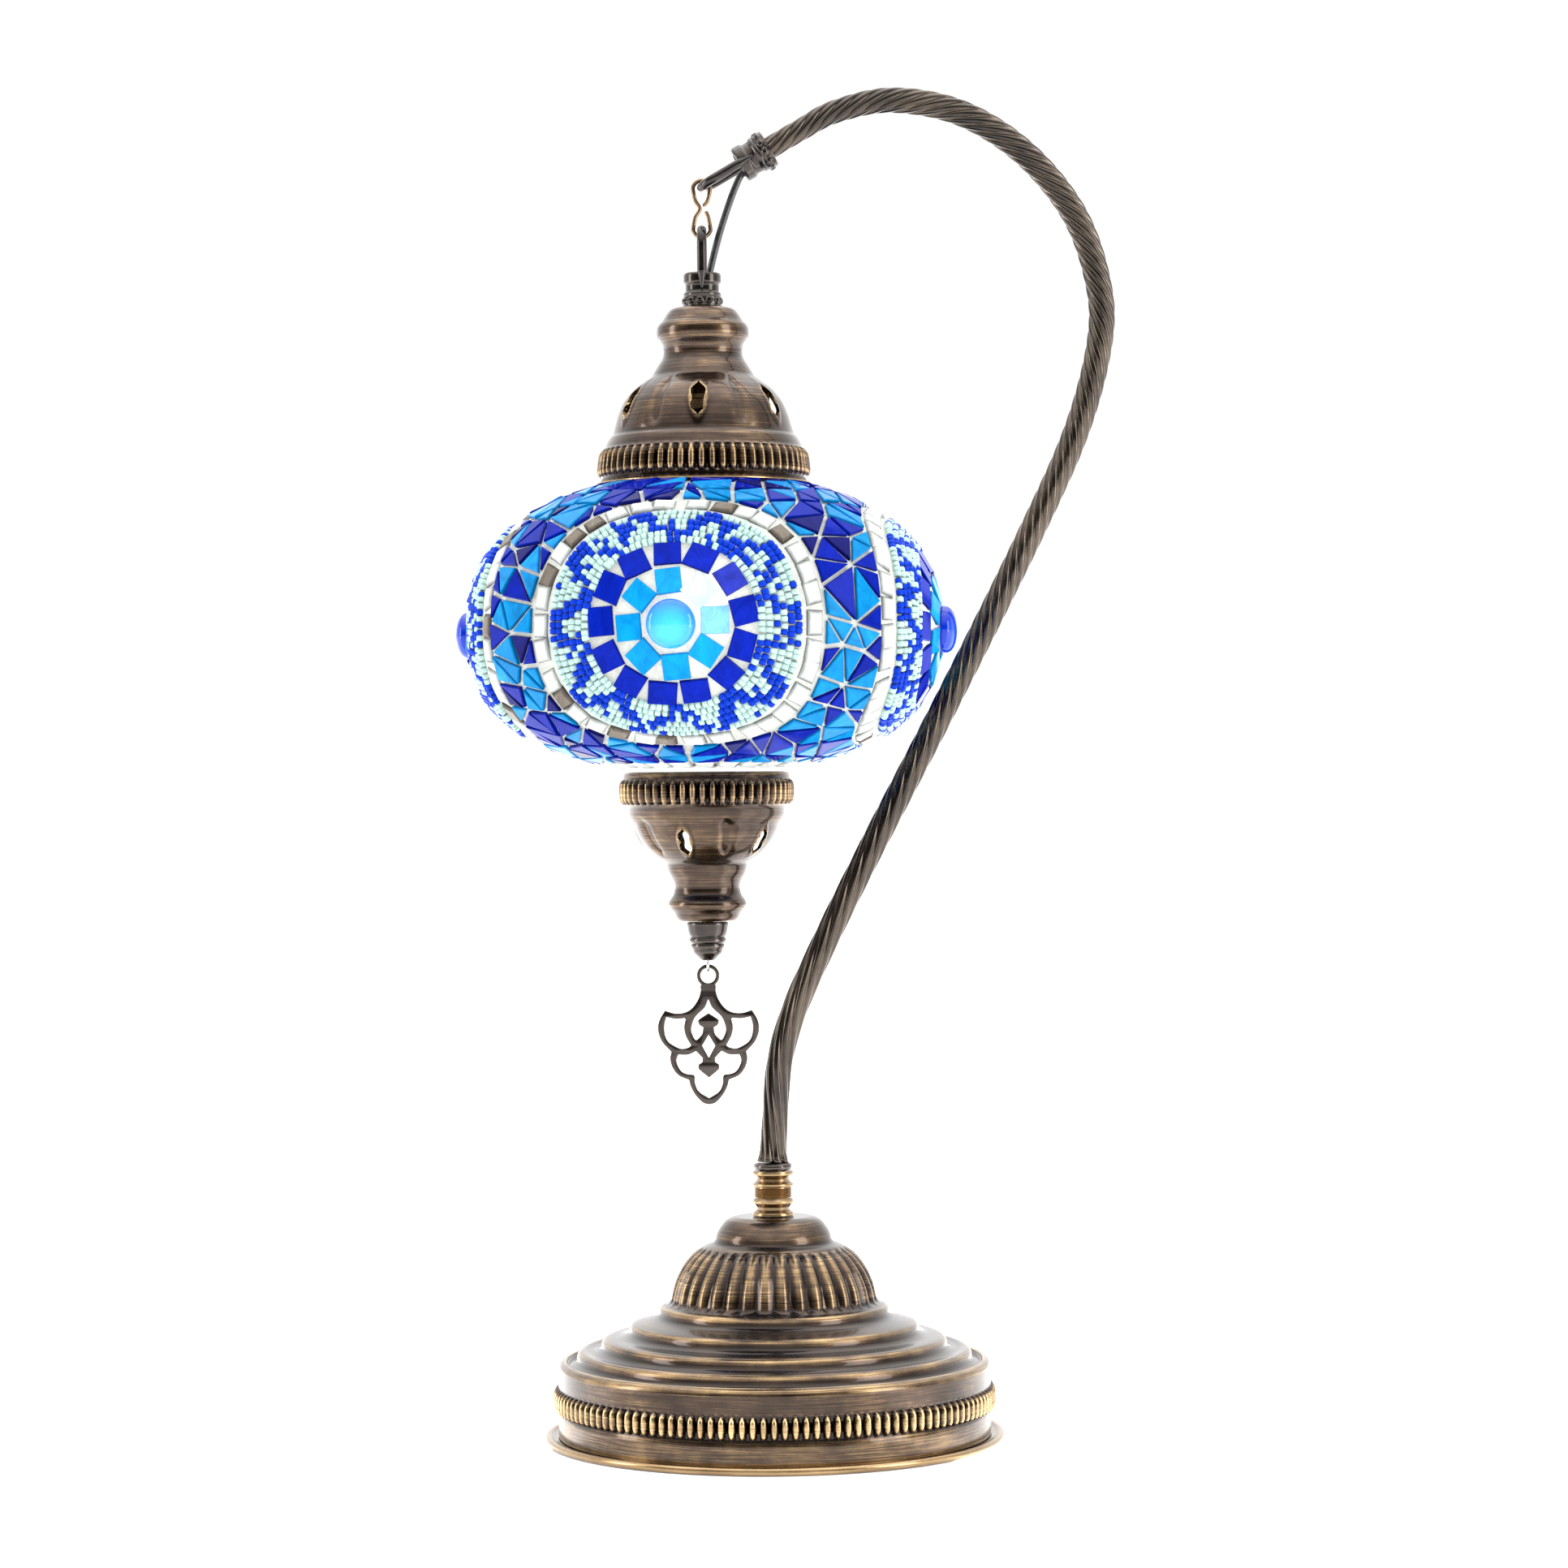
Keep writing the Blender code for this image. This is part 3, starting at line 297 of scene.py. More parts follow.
def worn(thing, width=1.3, rounds=2):
    """Puts on each point a wear from 0 in a hollow, over 0.5 on the flat, to 1 on an edge.

    Curvature is the mean over a point's edges of minus the edge's rise along the normal over its
    length squared. Wear is (1 + tanh(curvature * width)) / 2, evened out along the edges.
    """
    mesh = thing.data
    count = len(mesh.vertices)
    spot, normal, ends = np.empty(count * 3), np.empty(count * 3), np.empty(len(mesh.edges) * 2, np.int32)
    mesh.vertices.foreach_get("co", spot)
    mesh.vertices.foreach_get("normal", normal)
    mesh.edges.foreach_get("vertices", ends)
    spot, normal = spot.reshape(-1, 3), normal.reshape(-1, 3)
    a, b = ends.reshape(-1, 2).T
    step = spot[b] - spot[a]
    length = (step ** 2).sum(1) + 1e-12
    fall = np.bincount(a, -(step * normal[a]).sum(1) / length, count)
    fall += np.bincount(b, (step * normal[b]).sum(1) / length, count)
    links = np.maximum(np.bincount(a, minlength=count) + np.bincount(b, minlength=count), 1)
    wear = 0.5 + 0.5 * np.tanh(fall / links * width * MM)
    for _ in range(rounds):
        wear = (wear + (np.bincount(a, wear[b], count) + np.bincount(b, wear[a], count)) / links) / 2
    mesh.attributes.new("wear", "FLOAT", "POINT").data.foreach_set("value", wear.astype(np.float32))
    return thing


def rubbed_metal(name, stops, brush=(40, 40, 2600), rough=(0.20, 0.34), cloudy=0.09, streaky=0.12,
                 grit=0.0):
    """Lacquered metal, dark in its hollows and rubbed bright on its edges.

    The wear on the points, a cloudy noise and fine brush lines together pick the colour from stops.
    """
    made, tree, shader = finish(name, Metallic=1.0, Coat_Weight=0.45, Coat_Roughness=0.07, Coat_IOR=1.5)
    place = add(tree, "TexCoord").outputs["Object"]
    wear = add(tree, "Attribute", attribute_name="wear").outputs["Fac"]
    cloud = add(tree, "TexNoise", Vector=place, Scale=55.0, Detail=5.0, Roughness=0.62).outputs[0]
    lines = add(tree, "TexNoise", Scale=1.0, Detail=3.0, Roughness=0.7,
                Vector=add(tree, "Mapping", Vector=place, Scale=brush).outputs[0]).outputs[0]
    grain = add(tree, "TexNoise", Vector=place, Scale=1500.0, Detail=2.0).outputs[0]
    soft = tune(tree, cloud, 0.25, 0.75, -cloudy, cloudy)
    drawn = tune(tree, lines, 0.25, 0.75, -streaky, streaky)
    total = add(tree, "Math", operation="ADD", _0=add(tree, "Math", operation="ADD", _0=soft,
                                                      _1=drawn).outputs[0],
                _1=wear).outputs[0]
    tree.links.new(ramp(tree, total, stops), shader.inputs["Base Color"])
    tree.links.new(tune(tree, add(tree, "Math", operation="ADD", _0=lines, _1=cloud).outputs[0], 0.6, 1.4,
                        *rough),
                   shader.inputs["Roughness"])
    height = add(tree, "Math", operation="MULTIPLY_ADD", _0=grain, _1=grit, _2=lines).outputs[0]
    bumped(tree, shader, height, 0.3, 0.00004)
    return made


antique = rubbed_metal("antique_bronze", ((0.20, (0.006, 0.004, 0.003)), (0.42, (0.024, 0.014, 0.009)),
                                          (0.54, (0.066, 0.040, 0.026)), (0.66, (0.25, 0.16, 0.075)),
                                          (0.88, (0.85, 0.60, 0.29))))


def turned(outline, count, shift=None, centre=(0, 0)):
    """Rings round an upright axis, one for each (radius, height) of an outline.

    count is the points in a ring, or one count for each row. shift(turn, radius, height) gives how far
    each point moves out from the axis, for flutes and beads.
    """
    rings = []
    for k, (radius, height) in enumerate(outline):
        n = count[k] if np.ndim(count) else count
        turn = 2 * np.pi * np.arange(n) / n
        r = np.full(n, radius) + (0 if shift is None else shift(turn, radius, height))
        rings.append(np.stack([centre[0] + r * np.cos(turn), centre[1] + r * np.sin(turn),
                               np.full(n, height)], 1))
    return rings


def between(value, low, high, soft):
    """1 between low and high, falling smoothly to 0 within soft of either end."""
    rise = np.clip((value - low) / soft, 0, 1) * np.clip((high - value) / soft, 0, 1)
    return rise * rise * (3 - 2 * rise)


def lobe(turn, count, power):
    """Rounded rib across each of count equal parts of a turn: (1 - |share|^power)^(1/2), share -1 to 1."""
    share = np.abs(2 * np.mod(turn * count / (2 * np.pi), 1) - 1)
    return np.sqrt(np.maximum(0, 1 - share ** power))


FLUTES, ALMONDS = 36, 134
STEP_NOSES = ((39.8, 46.3), (50.0, 40.3), (59.8, 35.1), (68.4, 30.9))
dome = [(13.4, 77.6), (15.4, 77.0), (16.9, 76.0), (18.2, 74.4), (19.4, 72.6), (20.1, 71.0), (20.5, 69.6),
        (21.2, 68.6), (23.9, 67.5), (26.6, 65.8), (28.7, 64.1), (31.4, 60.8), (33.4, 57.3), (34.8, 53.8),
        (35.6, 50.5), (36.0, 48.7), (36.9, 47.6)]
steps = []
for r, z in STEP_NOSES:
    steps += [(r - 2.2, z + 0.85), (r - 0.7, z + 0.35), (r, z - 0.45), (r + 0.35, z - 1.5),
              (r + 0.75, z - 2.5), (r + 1.8, z - 3.3), (r + 3.6, z - 3.95)]
steps += [(72.6, 28.2), (74.2, 27.7), (75.0, 26.7), (75.2, 25.4), (75.2, 22.0), (75.2, 19.6)]
face = bow(dome + steps, 0.62)
face = face[face[:, 1] > 19.7]
band = np.stack([np.full(19, 75.2), np.linspace(19.3, 10.4, 19)], 1)
outline = np.vstack([[(3.5, 77.6), (8.0, 77.6), (12.0, 77.6)], face, band,
                     [(75.2, 8.0), (75.2, 4.0), (75.2, 2.3)]])


def base_relief(turn, radius, height):
    """Flutes cut into the dome, and almonds raised on the wall's band."""
    out = 0.0
    if 46.8 < height < 67.8:
        share = np.abs(2 * np.mod(turn * FLUTES / (2 * np.pi), 1) - 1)
        out = (-1.45 * (0.5 - 0.5 * np.cos(np.pi * share)) ** 1.5 * between(height, 47.2, 67.6, 2.0)
               * min(1, radius / 31))
    if 10.8 < height < 19.2 and radius > 75:
        along = abs(height - 15.0) / 4.1
        width = max(0.02, 1 - along ** 2.2) ** 0.5 * 0.80
        share = np.abs(2 * np.mod(turn * ALMONDS / (2 * np.pi), 1) - 1) / width
        out = 2.1 * np.sqrt(np.maximum(0, 1 - share ** 2.2)) * max(0, 1 - along ** 4) ** 0.5 - 0.25
    return out


counts = [288 if 46 < z < 68.5 else 144 for _, z in outline]
counts = [ALMONDS * 8 if r > 75 and 10.3 < z < 19.4 else n for n, (r, z) in zip(counts, outline)]
slope = np.gradient(outline, axis=0)
slope /= np.linalg.norm(slope, axis=1)[:, None]
under = (outline + np.stack([slope[:, 1], -slope[:, 0]], 1) * SHEET)[::6]
under = under[(under[:, 0] > 14) & (under[:, 1] > 4)]
inner = np.vstack([[(3.5, 76.8), (12.8, 76.8)], under, [(74.4, 2.3)]])[::-1]
inner[1:-2, 0] -= 0.5 * ((inner[1:-2, 1] > 46) & (inner[1:-2, 1] < 68))


def pierced(thing, cutters):
    """Cuts closed shapes out of a piece and keeps the result as its mesh."""
    tool = make("cutter", joined(*cutters), antique, None)
    cut = thing.modifiers.new("cut", "BOOLEAN")
    cut.object, cut.operation, cut.solver = tool, "DIFFERENCE", "EXACT"
    bpy.context.view_layer.update()
    fresh = bpy.data.meshes.new_from_object(thing.evaluated_get(bpy.context.evaluated_depsgraph_get()))
    thing.modifiers.clear()
    thing.data = fresh
    bpy.data.objects.remove(tool, do_unlink=True)
    fresh.shade_smooth()
    fresh.set_sharp_from_angle(angle=math.radians(40))
    return thing


shell = make("base_shell_spun", skin(turned(outline, counts, base_relief) + turned(inner, 72), closed=True),
             antique, "stand", ["base_shell"], sharp=50)
lead_hole = skin([np.array([(3.3 * math.cos(a), y, 22.2 + 3.3 * math.sin(a)) for a in np.arange(24) * np.pi
                            / 12])
                  for y in (60, 90)])
lead_hole = joined(lead_hole, (lead_hole[0][:0], [np.arange(24)[None, :], np.arange(47, 23, -1)[None, :]]))
pierced(shell, [lead_hole])
worn(shell, 2.4)

TRAY_R = 80.0                # outermost radius of the tray, and of the lamp's base
ROLL_R, ROLL_Z = 1.35, 1.5   # the rolled edge: its own radius, and the height of its middle
roll_turn = np.radians(np.linspace(140, -140, 29))
tray_line = np.vstack([[(3.5, 6.8), (12.0, 6.8), (15.0, 2.0), (40.0, 2.0), (74.0, 2.0), (76.3, 2.0)],
                       np.column_stack([TRAY_R - ROLL_R * (1 - np.cos(roll_turn)),
                                        ROLL_Z + ROLL_R * np.sin(roll_turn)]),
                       [(77.3, 1.2), (74.0, 1.2), (40.0, 1.2), (14.2, 1.2), (11.2, 6.0), (3.5, 6.0)]])
rim_brass = rubbed_metal("rubbed_brass", ((0.15, (0.035, 0.022, 0.012)), (0.40, (0.14, 0.09, 0.045)),
                                          (0.58, (0.29, 0.185, 0.088)), (0.85, (0.62, 0.43, 0.21))))
worn(make("base_tray_rolled", skin(turned(tray_line, 144), closed=True), rim_brass, "stand",
          ["base_tray"]))

# ---- The felt under the base and the bush in its back ----
# Disc of short black wool felt, glued under the tray. A black moulded bush lines the hole in the
# back of the wall, where a lead would come out.
felt, tree, shader = finish("black_felt", Roughness=0.95, Sheen_Weight=0.6, Sheen_Roughness=0.5)
place = add(tree, "TexCoord").outputs["Object"]
fibre = add(tree, "TexNoise", Vector=place, Scale=1400.0, Detail=6.0, Roughness=0.8).outputs[0]
tree.links.new(ramp(tree, fibre, ((0.3, (0.006, 0.006, 0.006)), (0.75, (0.035, 0.034, 0.034)))),
               shader.inputs["Base Color"])
bumped(tree, shader, fibre, 0.8, 0.0004)

moulded, tree, shader = finish("black_plastic", Specular_IOR_Level=0.5)
place = add(tree, "TexCoord").outputs["Object"]
grain = add(tree, "TexNoise", Vector=place, Scale=900.0, Detail=5.0).outputs[0]
tree.links.new(ramp(tree, grain, ((0.3, (0.012, 0.012, 0.012)), (0.8, (0.03, 0.03, 0.03)))),
               shader.inputs["Base Color"])
tree.links.new(tune(tree, grain, 0.3, 0.7, 0.32, 0.5), shader.inputs["Roughness"])
bumped(tree, shader, grain, 0.2, 0.0001)


def dress(material, *names):
    """Gives CAD nodes a material; their shape stays."""
    for name in names:
        for held in nodes[name].material_slots:
            held.material = material


dress(felt, "base_felt")
dress(moulded, "cord_grommet", "lampholder_cap", "lampholder_shell", "lampholder_insert")

# ---- The spool and the foot of the arm ----
# A spool turned from brass bar, with four sharp rings and a barrel of fine grooves, stands on the
# base. The arm's foot, a dark hammered ring with a spigot, sits in it.
spool_line = np.array([(4.9, 93.5), (6.7, 93.5), (7.05, 93.2), (7.2, 92.6), (7.05, 92.1), (6.3, 91.5),
                       (5.9, 90.7), (5.95, 89.9), (6.5, 89.3), (7.1, 89.0), (7.25, 88.6), (7.1, 88.2),
                       (6.5, 87.9)])
barrel = np.linspace(87.6, 84.3, 23)
barrel = np.stack([6.45 + 0.10 * np.cos(np.arange(23) * np.pi), barrel], 1)
spool_end = np.array([(6.4, 84.0), (6.9, 83.4), (7.2, 83.0), (7.25, 82.6), (7.1, 82.2), (6.4, 81.7),
                      (5.85, 80.9), (5.8, 80.0), (6.3, 79.4), (7.0, 79.0), (7.2, 78.6), (7.2, 78.1),
                      (7.0, 77.9), (4.9, 77.9)])
worn(make("spool_turned", skin(turned(np.vstack([spool_line, barrel, spool_end]), 72), closed=True),
          rim_brass,
          "stand", ["base_collar"], sharp=28), 0.7, 1)

dark_cast = rubbed_metal("gunmetal_bronze", ((0.15, (0.006, 0.005, 0.005)), (0.45, (0.026, 0.021, 0.019)),
                                             (0.62, (0.075, 0.060, 0.050)), (0.82, (0.26, 0.21, 0.165)),
                                             (1.0, (0.55, 0.46, 0.37))), (90, 90, 90), (0.16, 0.30), 0.06,
                         0.04, 0.0)


def hammered(turn, radius, height):
    """Small uneven dents round the foot's rim."""
    return 0.12 * np.sin(turn * 23 + height * 5) * np.sin(turn * 14 - height * 7) if radius > 5.8 else 0.0


foot_line = [(2.2, 96.2), (5.6, 96.2), (6.1, 96.0), (6.5, 95.6), (6.65, 95.1), (6.65, 94.5), (6.4, 94.0),
             (6.0, 93.8), (4.6, 93.8), (4.6, 80.2), (3.5, 80.2), (3.5, 95.6), (2.2, 95.6)]
worn(make("arm_foot_ring", skin(turned(foot_line, 96, hammered), closed=True), dark_cast, "stand",
          ["arm_foot"]), 0.8, 1)

# ---- The swan-neck arm ----
# Brass tube rolled into eight round ribs with narrow grooves, twisted left-handed and bent. The twist
# is slow at the foot, quick over the arch, and runs on to the casting, where the tube is drawn slim.
REACH, RISE, ARM_Z, ARM_R, RIBS = 116.756, 369.4, 96.5, 4.45, 8
route = [(0.0, 0.0), (0.008, 0.042), (0.023, 0.094), (0.068, 0.143), (0.162, 0.208), (0.310, 0.300),
         (0.540, 0.4375), (0.785, 0.590), (0.927, 0.689), (0.997, 0.7725), (0.991, 0.829), (0.9215, 0.892),
         (0.776, 0.949), (0.589, 0.987), (0.384, 1.0), (0.213, 0.9897), (0.1024, 0.9716)]
MOUTH = np.array((-8.829, 0, 443.409))
OUT = np.array((-math.cos(math.radians(30)), 0, -0.5))
arm_path = bow([(x * REACH, 0, ARM_Z + z * RISE) for x, z in route] + [tuple(MOUTH - OUT * 6.0)], 1.3)
run = np.linspace(0, 1, len(arm_path)) * (len(arm_path) - 1) * 1.3
pitch = np.interp(run, (0, 60, 130, 220, 300), (150, 125, 82, 54, 46))
turning = 2 * np.pi / pitch * np.clip((run[-1] - run - 2) / 8, 0, 1)
twist = -np.concatenate([[0], np.cumsum(turning[1:] * 1.3)])
slim = 1 - 0.155 * np.clip((run - run[-1] + 60) / 40, 0, 1)
flare = 1 + 0.30 * np.exp(-run / 2.2)
turn = np.linspace(0, 2 * np.pi, RIBS * 8, endpoint=False)[None, :]
ribbed = (ARM_R + 0.15) * (1 - 0.28 * (1 - lobe(turn, RIBS, 2.2))) * (slim * flare)[:, None]
angle = turn + twist[:, None]
arm_rings = list(rings_along(arm_path, ribbed * np.cos(angle), ribbed * np.sin(angle)))
arm_metal = rubbed_metal("arm_bronze", ((0.12, (0.004, 0.003, 0.003)), (0.38, (0.026, 0.020, 0.016)),
                                        (0.56, (0.140, 0.105, 0.074)), (0.74, (0.38, 0.28, 0.18)),
                                        (0.95, (0.70, 0.54, 0.36))), (60, 60, 60), (0.16, 0.26), 0.06, 0.03,
                         0.0)
worn(make("arm_twisted", skin([arm_path[:1]] + arm_rings + [arm_path[-1:]]), arm_metal, "stand",
          ["arm_tube"], sharp=0), 1.1, 4)

# ---- The two castings with bails ----
# Collars cast in bronze, each with a U-shaped bail: one caps the tip of the arm, the other stands on
# the top cap. A plain band, a groove and a thin ring lie above a band of linked rings in relief.
CAST_RINGS = 13


def linked_rings(turn, radius, height):
    """Low ring round a pit, repeated: 0.4 exp(-((d-0.62)/0.2)^2) - 0.55 exp(-(d/0.38)^2)."""
    if not -11.3 < height < -8.4:
        return 0.0
    across = 2 * np.mod(turn * CAST_RINGS / (2 * np.pi), 1) - 1
    d = np.hypot(across * 1.15, (height + 9.85) / 1.25)
    return 0.42 * np.exp(-((d - 0.62) / 0.2) ** 2) - 0.5 * np.exp(-(d / 0.38) ** 2)


cast_line = np.vstack([bow([(4.3, 0), (5.4, 0.05), (6.1, -0.1), (6.5, -0.7), (6.55, -2.0), (6.5, -3.4),
                            (6.1, -3.9), (5.85, -4.6), (5.9, -6.2), (6.15, -6.7), (6.5, -7.1), (6.6, -7.6),
                            (6.45, -8.1)], 0.3),
                       np.stack([6.75 + 0.1 * np.sin(np.linspace(0, np.pi, 15)),
                                 np.linspace(-8.4, -11.3, 15)], 1),
                       [(6.9, -11.5), (6.8, -12.0), (4.3, -12.0)]])


def casting(to_world):
    """Collar and bail in one: a turned outline, and a wire of 1.65 radius bent to a U with tapered feet."""
    collar = skin(turned(cast_line, CAST_RINGS * 10, linked_rings), closed=True)
    legs = [(6.35, -5.6), (6.2, -3.8), (6.0, -1.0), (6.0, 4.6)]
    arc = [(6 * math.cos(a), 9.2 + 6 * math.sin(a)) for a in np.linspace(0, np.pi, 13)]
    line = np.array([(y, z) for y, z in legs + arc] + [(-y, z) for y, z in reversed(legs)])
    line = bow(line, 0.5)
    drop = np.minimum(line[:, 1], 0)
    radius = 1.65 * np.clip(1 + drop / 7.0, 0.16, 1)
    path = np.stack([line[:, 0], np.zeros(len(line)), line[:, 1]], 1)
    turn = np.linspace(0, 2 * np.pi, 20, endpoint=False)[None, :]
    rings = rings_along(path, radius[:, None] * np.cos(turn), radius[:, None] * np.sin(turn))
    wire, faces = skin([path[:1]] + list(rings) + [path[-1:]])
    wire = np.stack([-wire[:, 1], wire[:, 0], wire[:, 2]], 1)
    points, faces = joined(collar, (wire, faces))
    return points @ np.array(to_world[0]).T + np.array(to_world[1]), faces


tilt = math.radians(240)
arm_frame = (((math.cos(tilt), 0, math.sin(tilt)), (0, 1, 0), (-math.sin(tilt), 0, math.cos(tilt))), MOUTH)
cap_frame = (np.eye(3), (SHADE_X, 0, 406.109))
for label, to_world, body, node in (("arm_tip_casting", arm_frame, "stand", "arm_ferrule"),
                                    ("cap_casting", cap_frame, "shade", "cap_collar")):
    worn(make(label, casting(to_world), dark_cast, body, [node], sharp=40), 0.35, 3)

# ---- The S-hook ----
# One length of 1.4 mm brass wire bent into an open figure of eight. The shade swings in its lower
# loop, and its two ends meet the waist on the right.
bright, tree, shader = finish("bright_brass", Metallic=1.0)
place = add(tree, "TexCoord").outputs["Object"]
cloud = add(tree, "TexNoise", Vector=place, Scale=120.0, Detail=4.0, Roughness=0.6).outputs[0]
tree.links.new(ramp(tree, cloud, ((0.3, (0.15, 0.095, 0.05)), (0.5, (0.22, 0.145, 0.08)),
                                  (0.75, (0.32, 0.22, 0.125)))),
               shader.inputs["Base Color"])
tree.links.new(tune(tree, cloud, 0.3, 0.7, 0.34, 0.18), shader.inputs["Roughness"])
bumped(tree, shader, cloud, 0.2, 0.0001)

arc = [(3.0 * math.cos(a), 6.9 + 3.0 * math.sin(a)) for a in np.linspace(0, np.pi, 9)]
upper = [(0.5, 0.9), (2.1, 2.9)] + arc + [(-2.2, 3.0), (-0.6, 0)]
lower = [(x, -z) for x, z in reversed([(1.3, 0.7), (2.3, 2.9)] + arc + [(-2.2, 3.0)])]
wire_path = bow([(SHADE_X + x, 0, 428.559 + z) for x, z in upper + lower], 0.35)
ends = np.minimum(np.arange(len(wire_path)), np.arange(len(wire_path))[::-1]) * 0.35
thick = 0.7 * np.sqrt(np.clip(1 - (1 - np.clip(ends / 0.6, 0, 1)) ** 2, 0.05, 1))
turn = np.linspace(0, 2 * np.pi, 16, endpoint=False)[None, :]
rings = rings_along(wire_path, thick[:, None] * np.cos(turn), thick[:, None] * np.sin(turn))
make("s_hook_wire", skin([wire_path[:1]] + list(rings) + [wire_path[-1:]]), bright, "hook",
     ["s_hook"])
dress(bright, "cap_nipple", "globe_bracket", "cap_nut", "finial_stud", "stud_nut")

# ---- The top cap ----
# Spun brass, like the base: a small stepped crown, a neck, and a bell of six lobes pierced with
# pointed vents, over a band of pressed gadroons and a flared rim that sits on the glass.
AXIS = (SHADE_X, 0)


def pointed_vent(count, first, level, high, wide, inner, outer):
    """Prisms through a wall, each an ogee: points at both ends and a waist between two round lobes."""
    half = np.array([(0.0, 0.50), (0.10, 0.43), (0.24, 0.37), (0.38, 0.32), (0.47, 0.27), (0.50, 0.21),
                     (0.48, 0.14), (0.43, 0.07), (0.41, 0.0)])
    right = np.vstack([half, half[-2::-1] * (1, -1)])
    line = np.vstack([right, right[-2:0:-1] * (-1, 1)])[::-1]
    shapes = []
    for k in range(count):
        turn = math.radians(first + 360 / count * k)
        out, side = np.array((math.sin(turn), -math.cos(turn), 0)), np.array((math.cos(turn),
                                                                              math.sin(turn), 0))
        rings = [np.array((*AXIS, level)) + out * reach + line[:, :1] * wide * side + line[:, 1:] * high
                 * (0, 0, 1)
                 for reach in (outer, inner)]
        points, faces = skin(rings)
        n = len(line)
        shapes.append((points, faces + [np.arange(n)[None, :], np.arange(2 * n - 1, n - 1, -1)[None, :]]))
    return shapes


def lip(turn, height, count, first, level, high, wide, radius):
    """Low bead round each vent: exp(-(q/0.3)^2) of q, the distance out from an oval about the vent."""
    step = 2 * np.pi / count
    off = np.mod(turn + np.pi / 2 - math.radians(first) + step / 2, step) - step / 2
    q = (np.abs(off * radius) / (wide * 0.56)) ** 1.7 + (abs(height - level) / (high * 0.54)) ** 1.5 - 1
    return 0.42 * np.exp(-(q / 0.45) ** 2)


def creases(turn, count, first):
    """0 over most of each lobe and 1 in the sharp crease half way between two vents."""
    step = 2 * np.pi / count
    off = np.abs(np.mod(turn + np.pi / 2 - math.radians(first), step) - step / 2) / step
    return np.exp(-(off / 0.055) ** 1.5)


CAP_GADROONS, CAP_VENTS, CAP_TURN = 62, 6, -2.6
cap_face = bow([(8.0, 393.8), (10.0, 393.8), (11.4, 393.2), (12.7, 391.6), (14.0, 389.5), (15.4, 388.0),
                (16.0, 386.6), (16.0, 384.2), (15.5, 382.7), (14.2, 380.7), (13.7, 378.8), (14.2, 376.4),
                (15.8, 373.8), (17.1, 371.6), (18.2, 370.0), (21.1, 367.9), (24.0, 365.7), (26.1, 363.4),
                (27.8, 361.1), (29.0, 358.6), (30.1, 355.6), (31.0, 352.2), (31.6, 349.8), (32.7, 348.7),
                (33.6, 347.1), (34.3, 345.3)],
               0.5)
cap_band = np.stack([np.linspace(35.0, 36.1, 17), np.linspace(344.6, 335.0, 17)], 1)
cap_line = np.vstack([[(4.3, 393.8)], cap_face, cap_band,
                      [(35.6, 334.4), (36.3, 333.6), (37.4, 332.9), (37.5, 332.45),
                                                           (36.8, 332.4)]])


def cap_relief(turn, radius, height):
    """Creases and vent beads on the bell, gadroons on the band."""
    if 350 < height < 370.5 and radius > 17.5:
        out = -2.0 * creases(turn, CAP_VENTS, CAP_TURN) * between(height, 350.6, 370.4, 5.0)
        return out + lip(turn, height, CAP_VENTS, CAP_TURN, 360.4, 12.7, 5.3, radius)
    if 335 < height < 344.5 and radius > 34:
        along = abs(height - 339.7) / 4.8
        width = max(0.02, 1 - along ** 2.8) ** 0.5 * 0.98
        share = np.minimum(1, np.abs(2 * np.mod(turn * CAP_GADROONS / (2 * np.pi), 1) - 1) / width)
        return 1.9 * np.cos(share * np.pi / 2) ** 0.9 * max(0, 1 - along ** 4) ** 0.5 - 0.5
    return 0.0


def spun_cap(name, line, counts, relief, neck_gap, cutters, node):
    """Wall of one sheet: the outline outside, and the same outline a sheet's thickness in, coarser."""
    slope = np.gradient(line, axis=0)
    slope /= np.linalg.norm(slope, axis=1)[:, None]
    inside = line + np.stack([slope[:, 1], -slope[:, 0]], 1) * (SHEET + 0.1)
    inside = inside[(inside[:, 0] > neck_gap) & (line[:, 0] > neck_gap + 1)][::4]
    inside = np.vstack([[(line[0, 0], line[0, 1] + inside[0, 1] - line[1:][line[1:, 0] > neck_gap][0, 1])],
                        inside,
                        [(line[-1, 0] - 0.2, line[-1, 1] + 0.0)]])[::-1]
    made = make(name, skin(turned(line, counts, relief, AXIS) + turned(inside[1:], 96, None, AXIS),
                           closed=True),
                antique, "shade", [node], sharp=50)
    return worn(pierced(made, cutters), 1.1)


cap_counts = [CAP_GADROONS * 10 if 334.8 < z < 344.8 else 480 if z > 345 and r > 17 else 120 for r,
              z in cap_line]
spun_cap("top_cap_spun", cap_line, cap_counts, cap_relief, 6.0,
         pointed_vent(CAP_VENTS, CAP_TURN, 360.4, 12.7, 5.3, 15, 45), "top_cap")

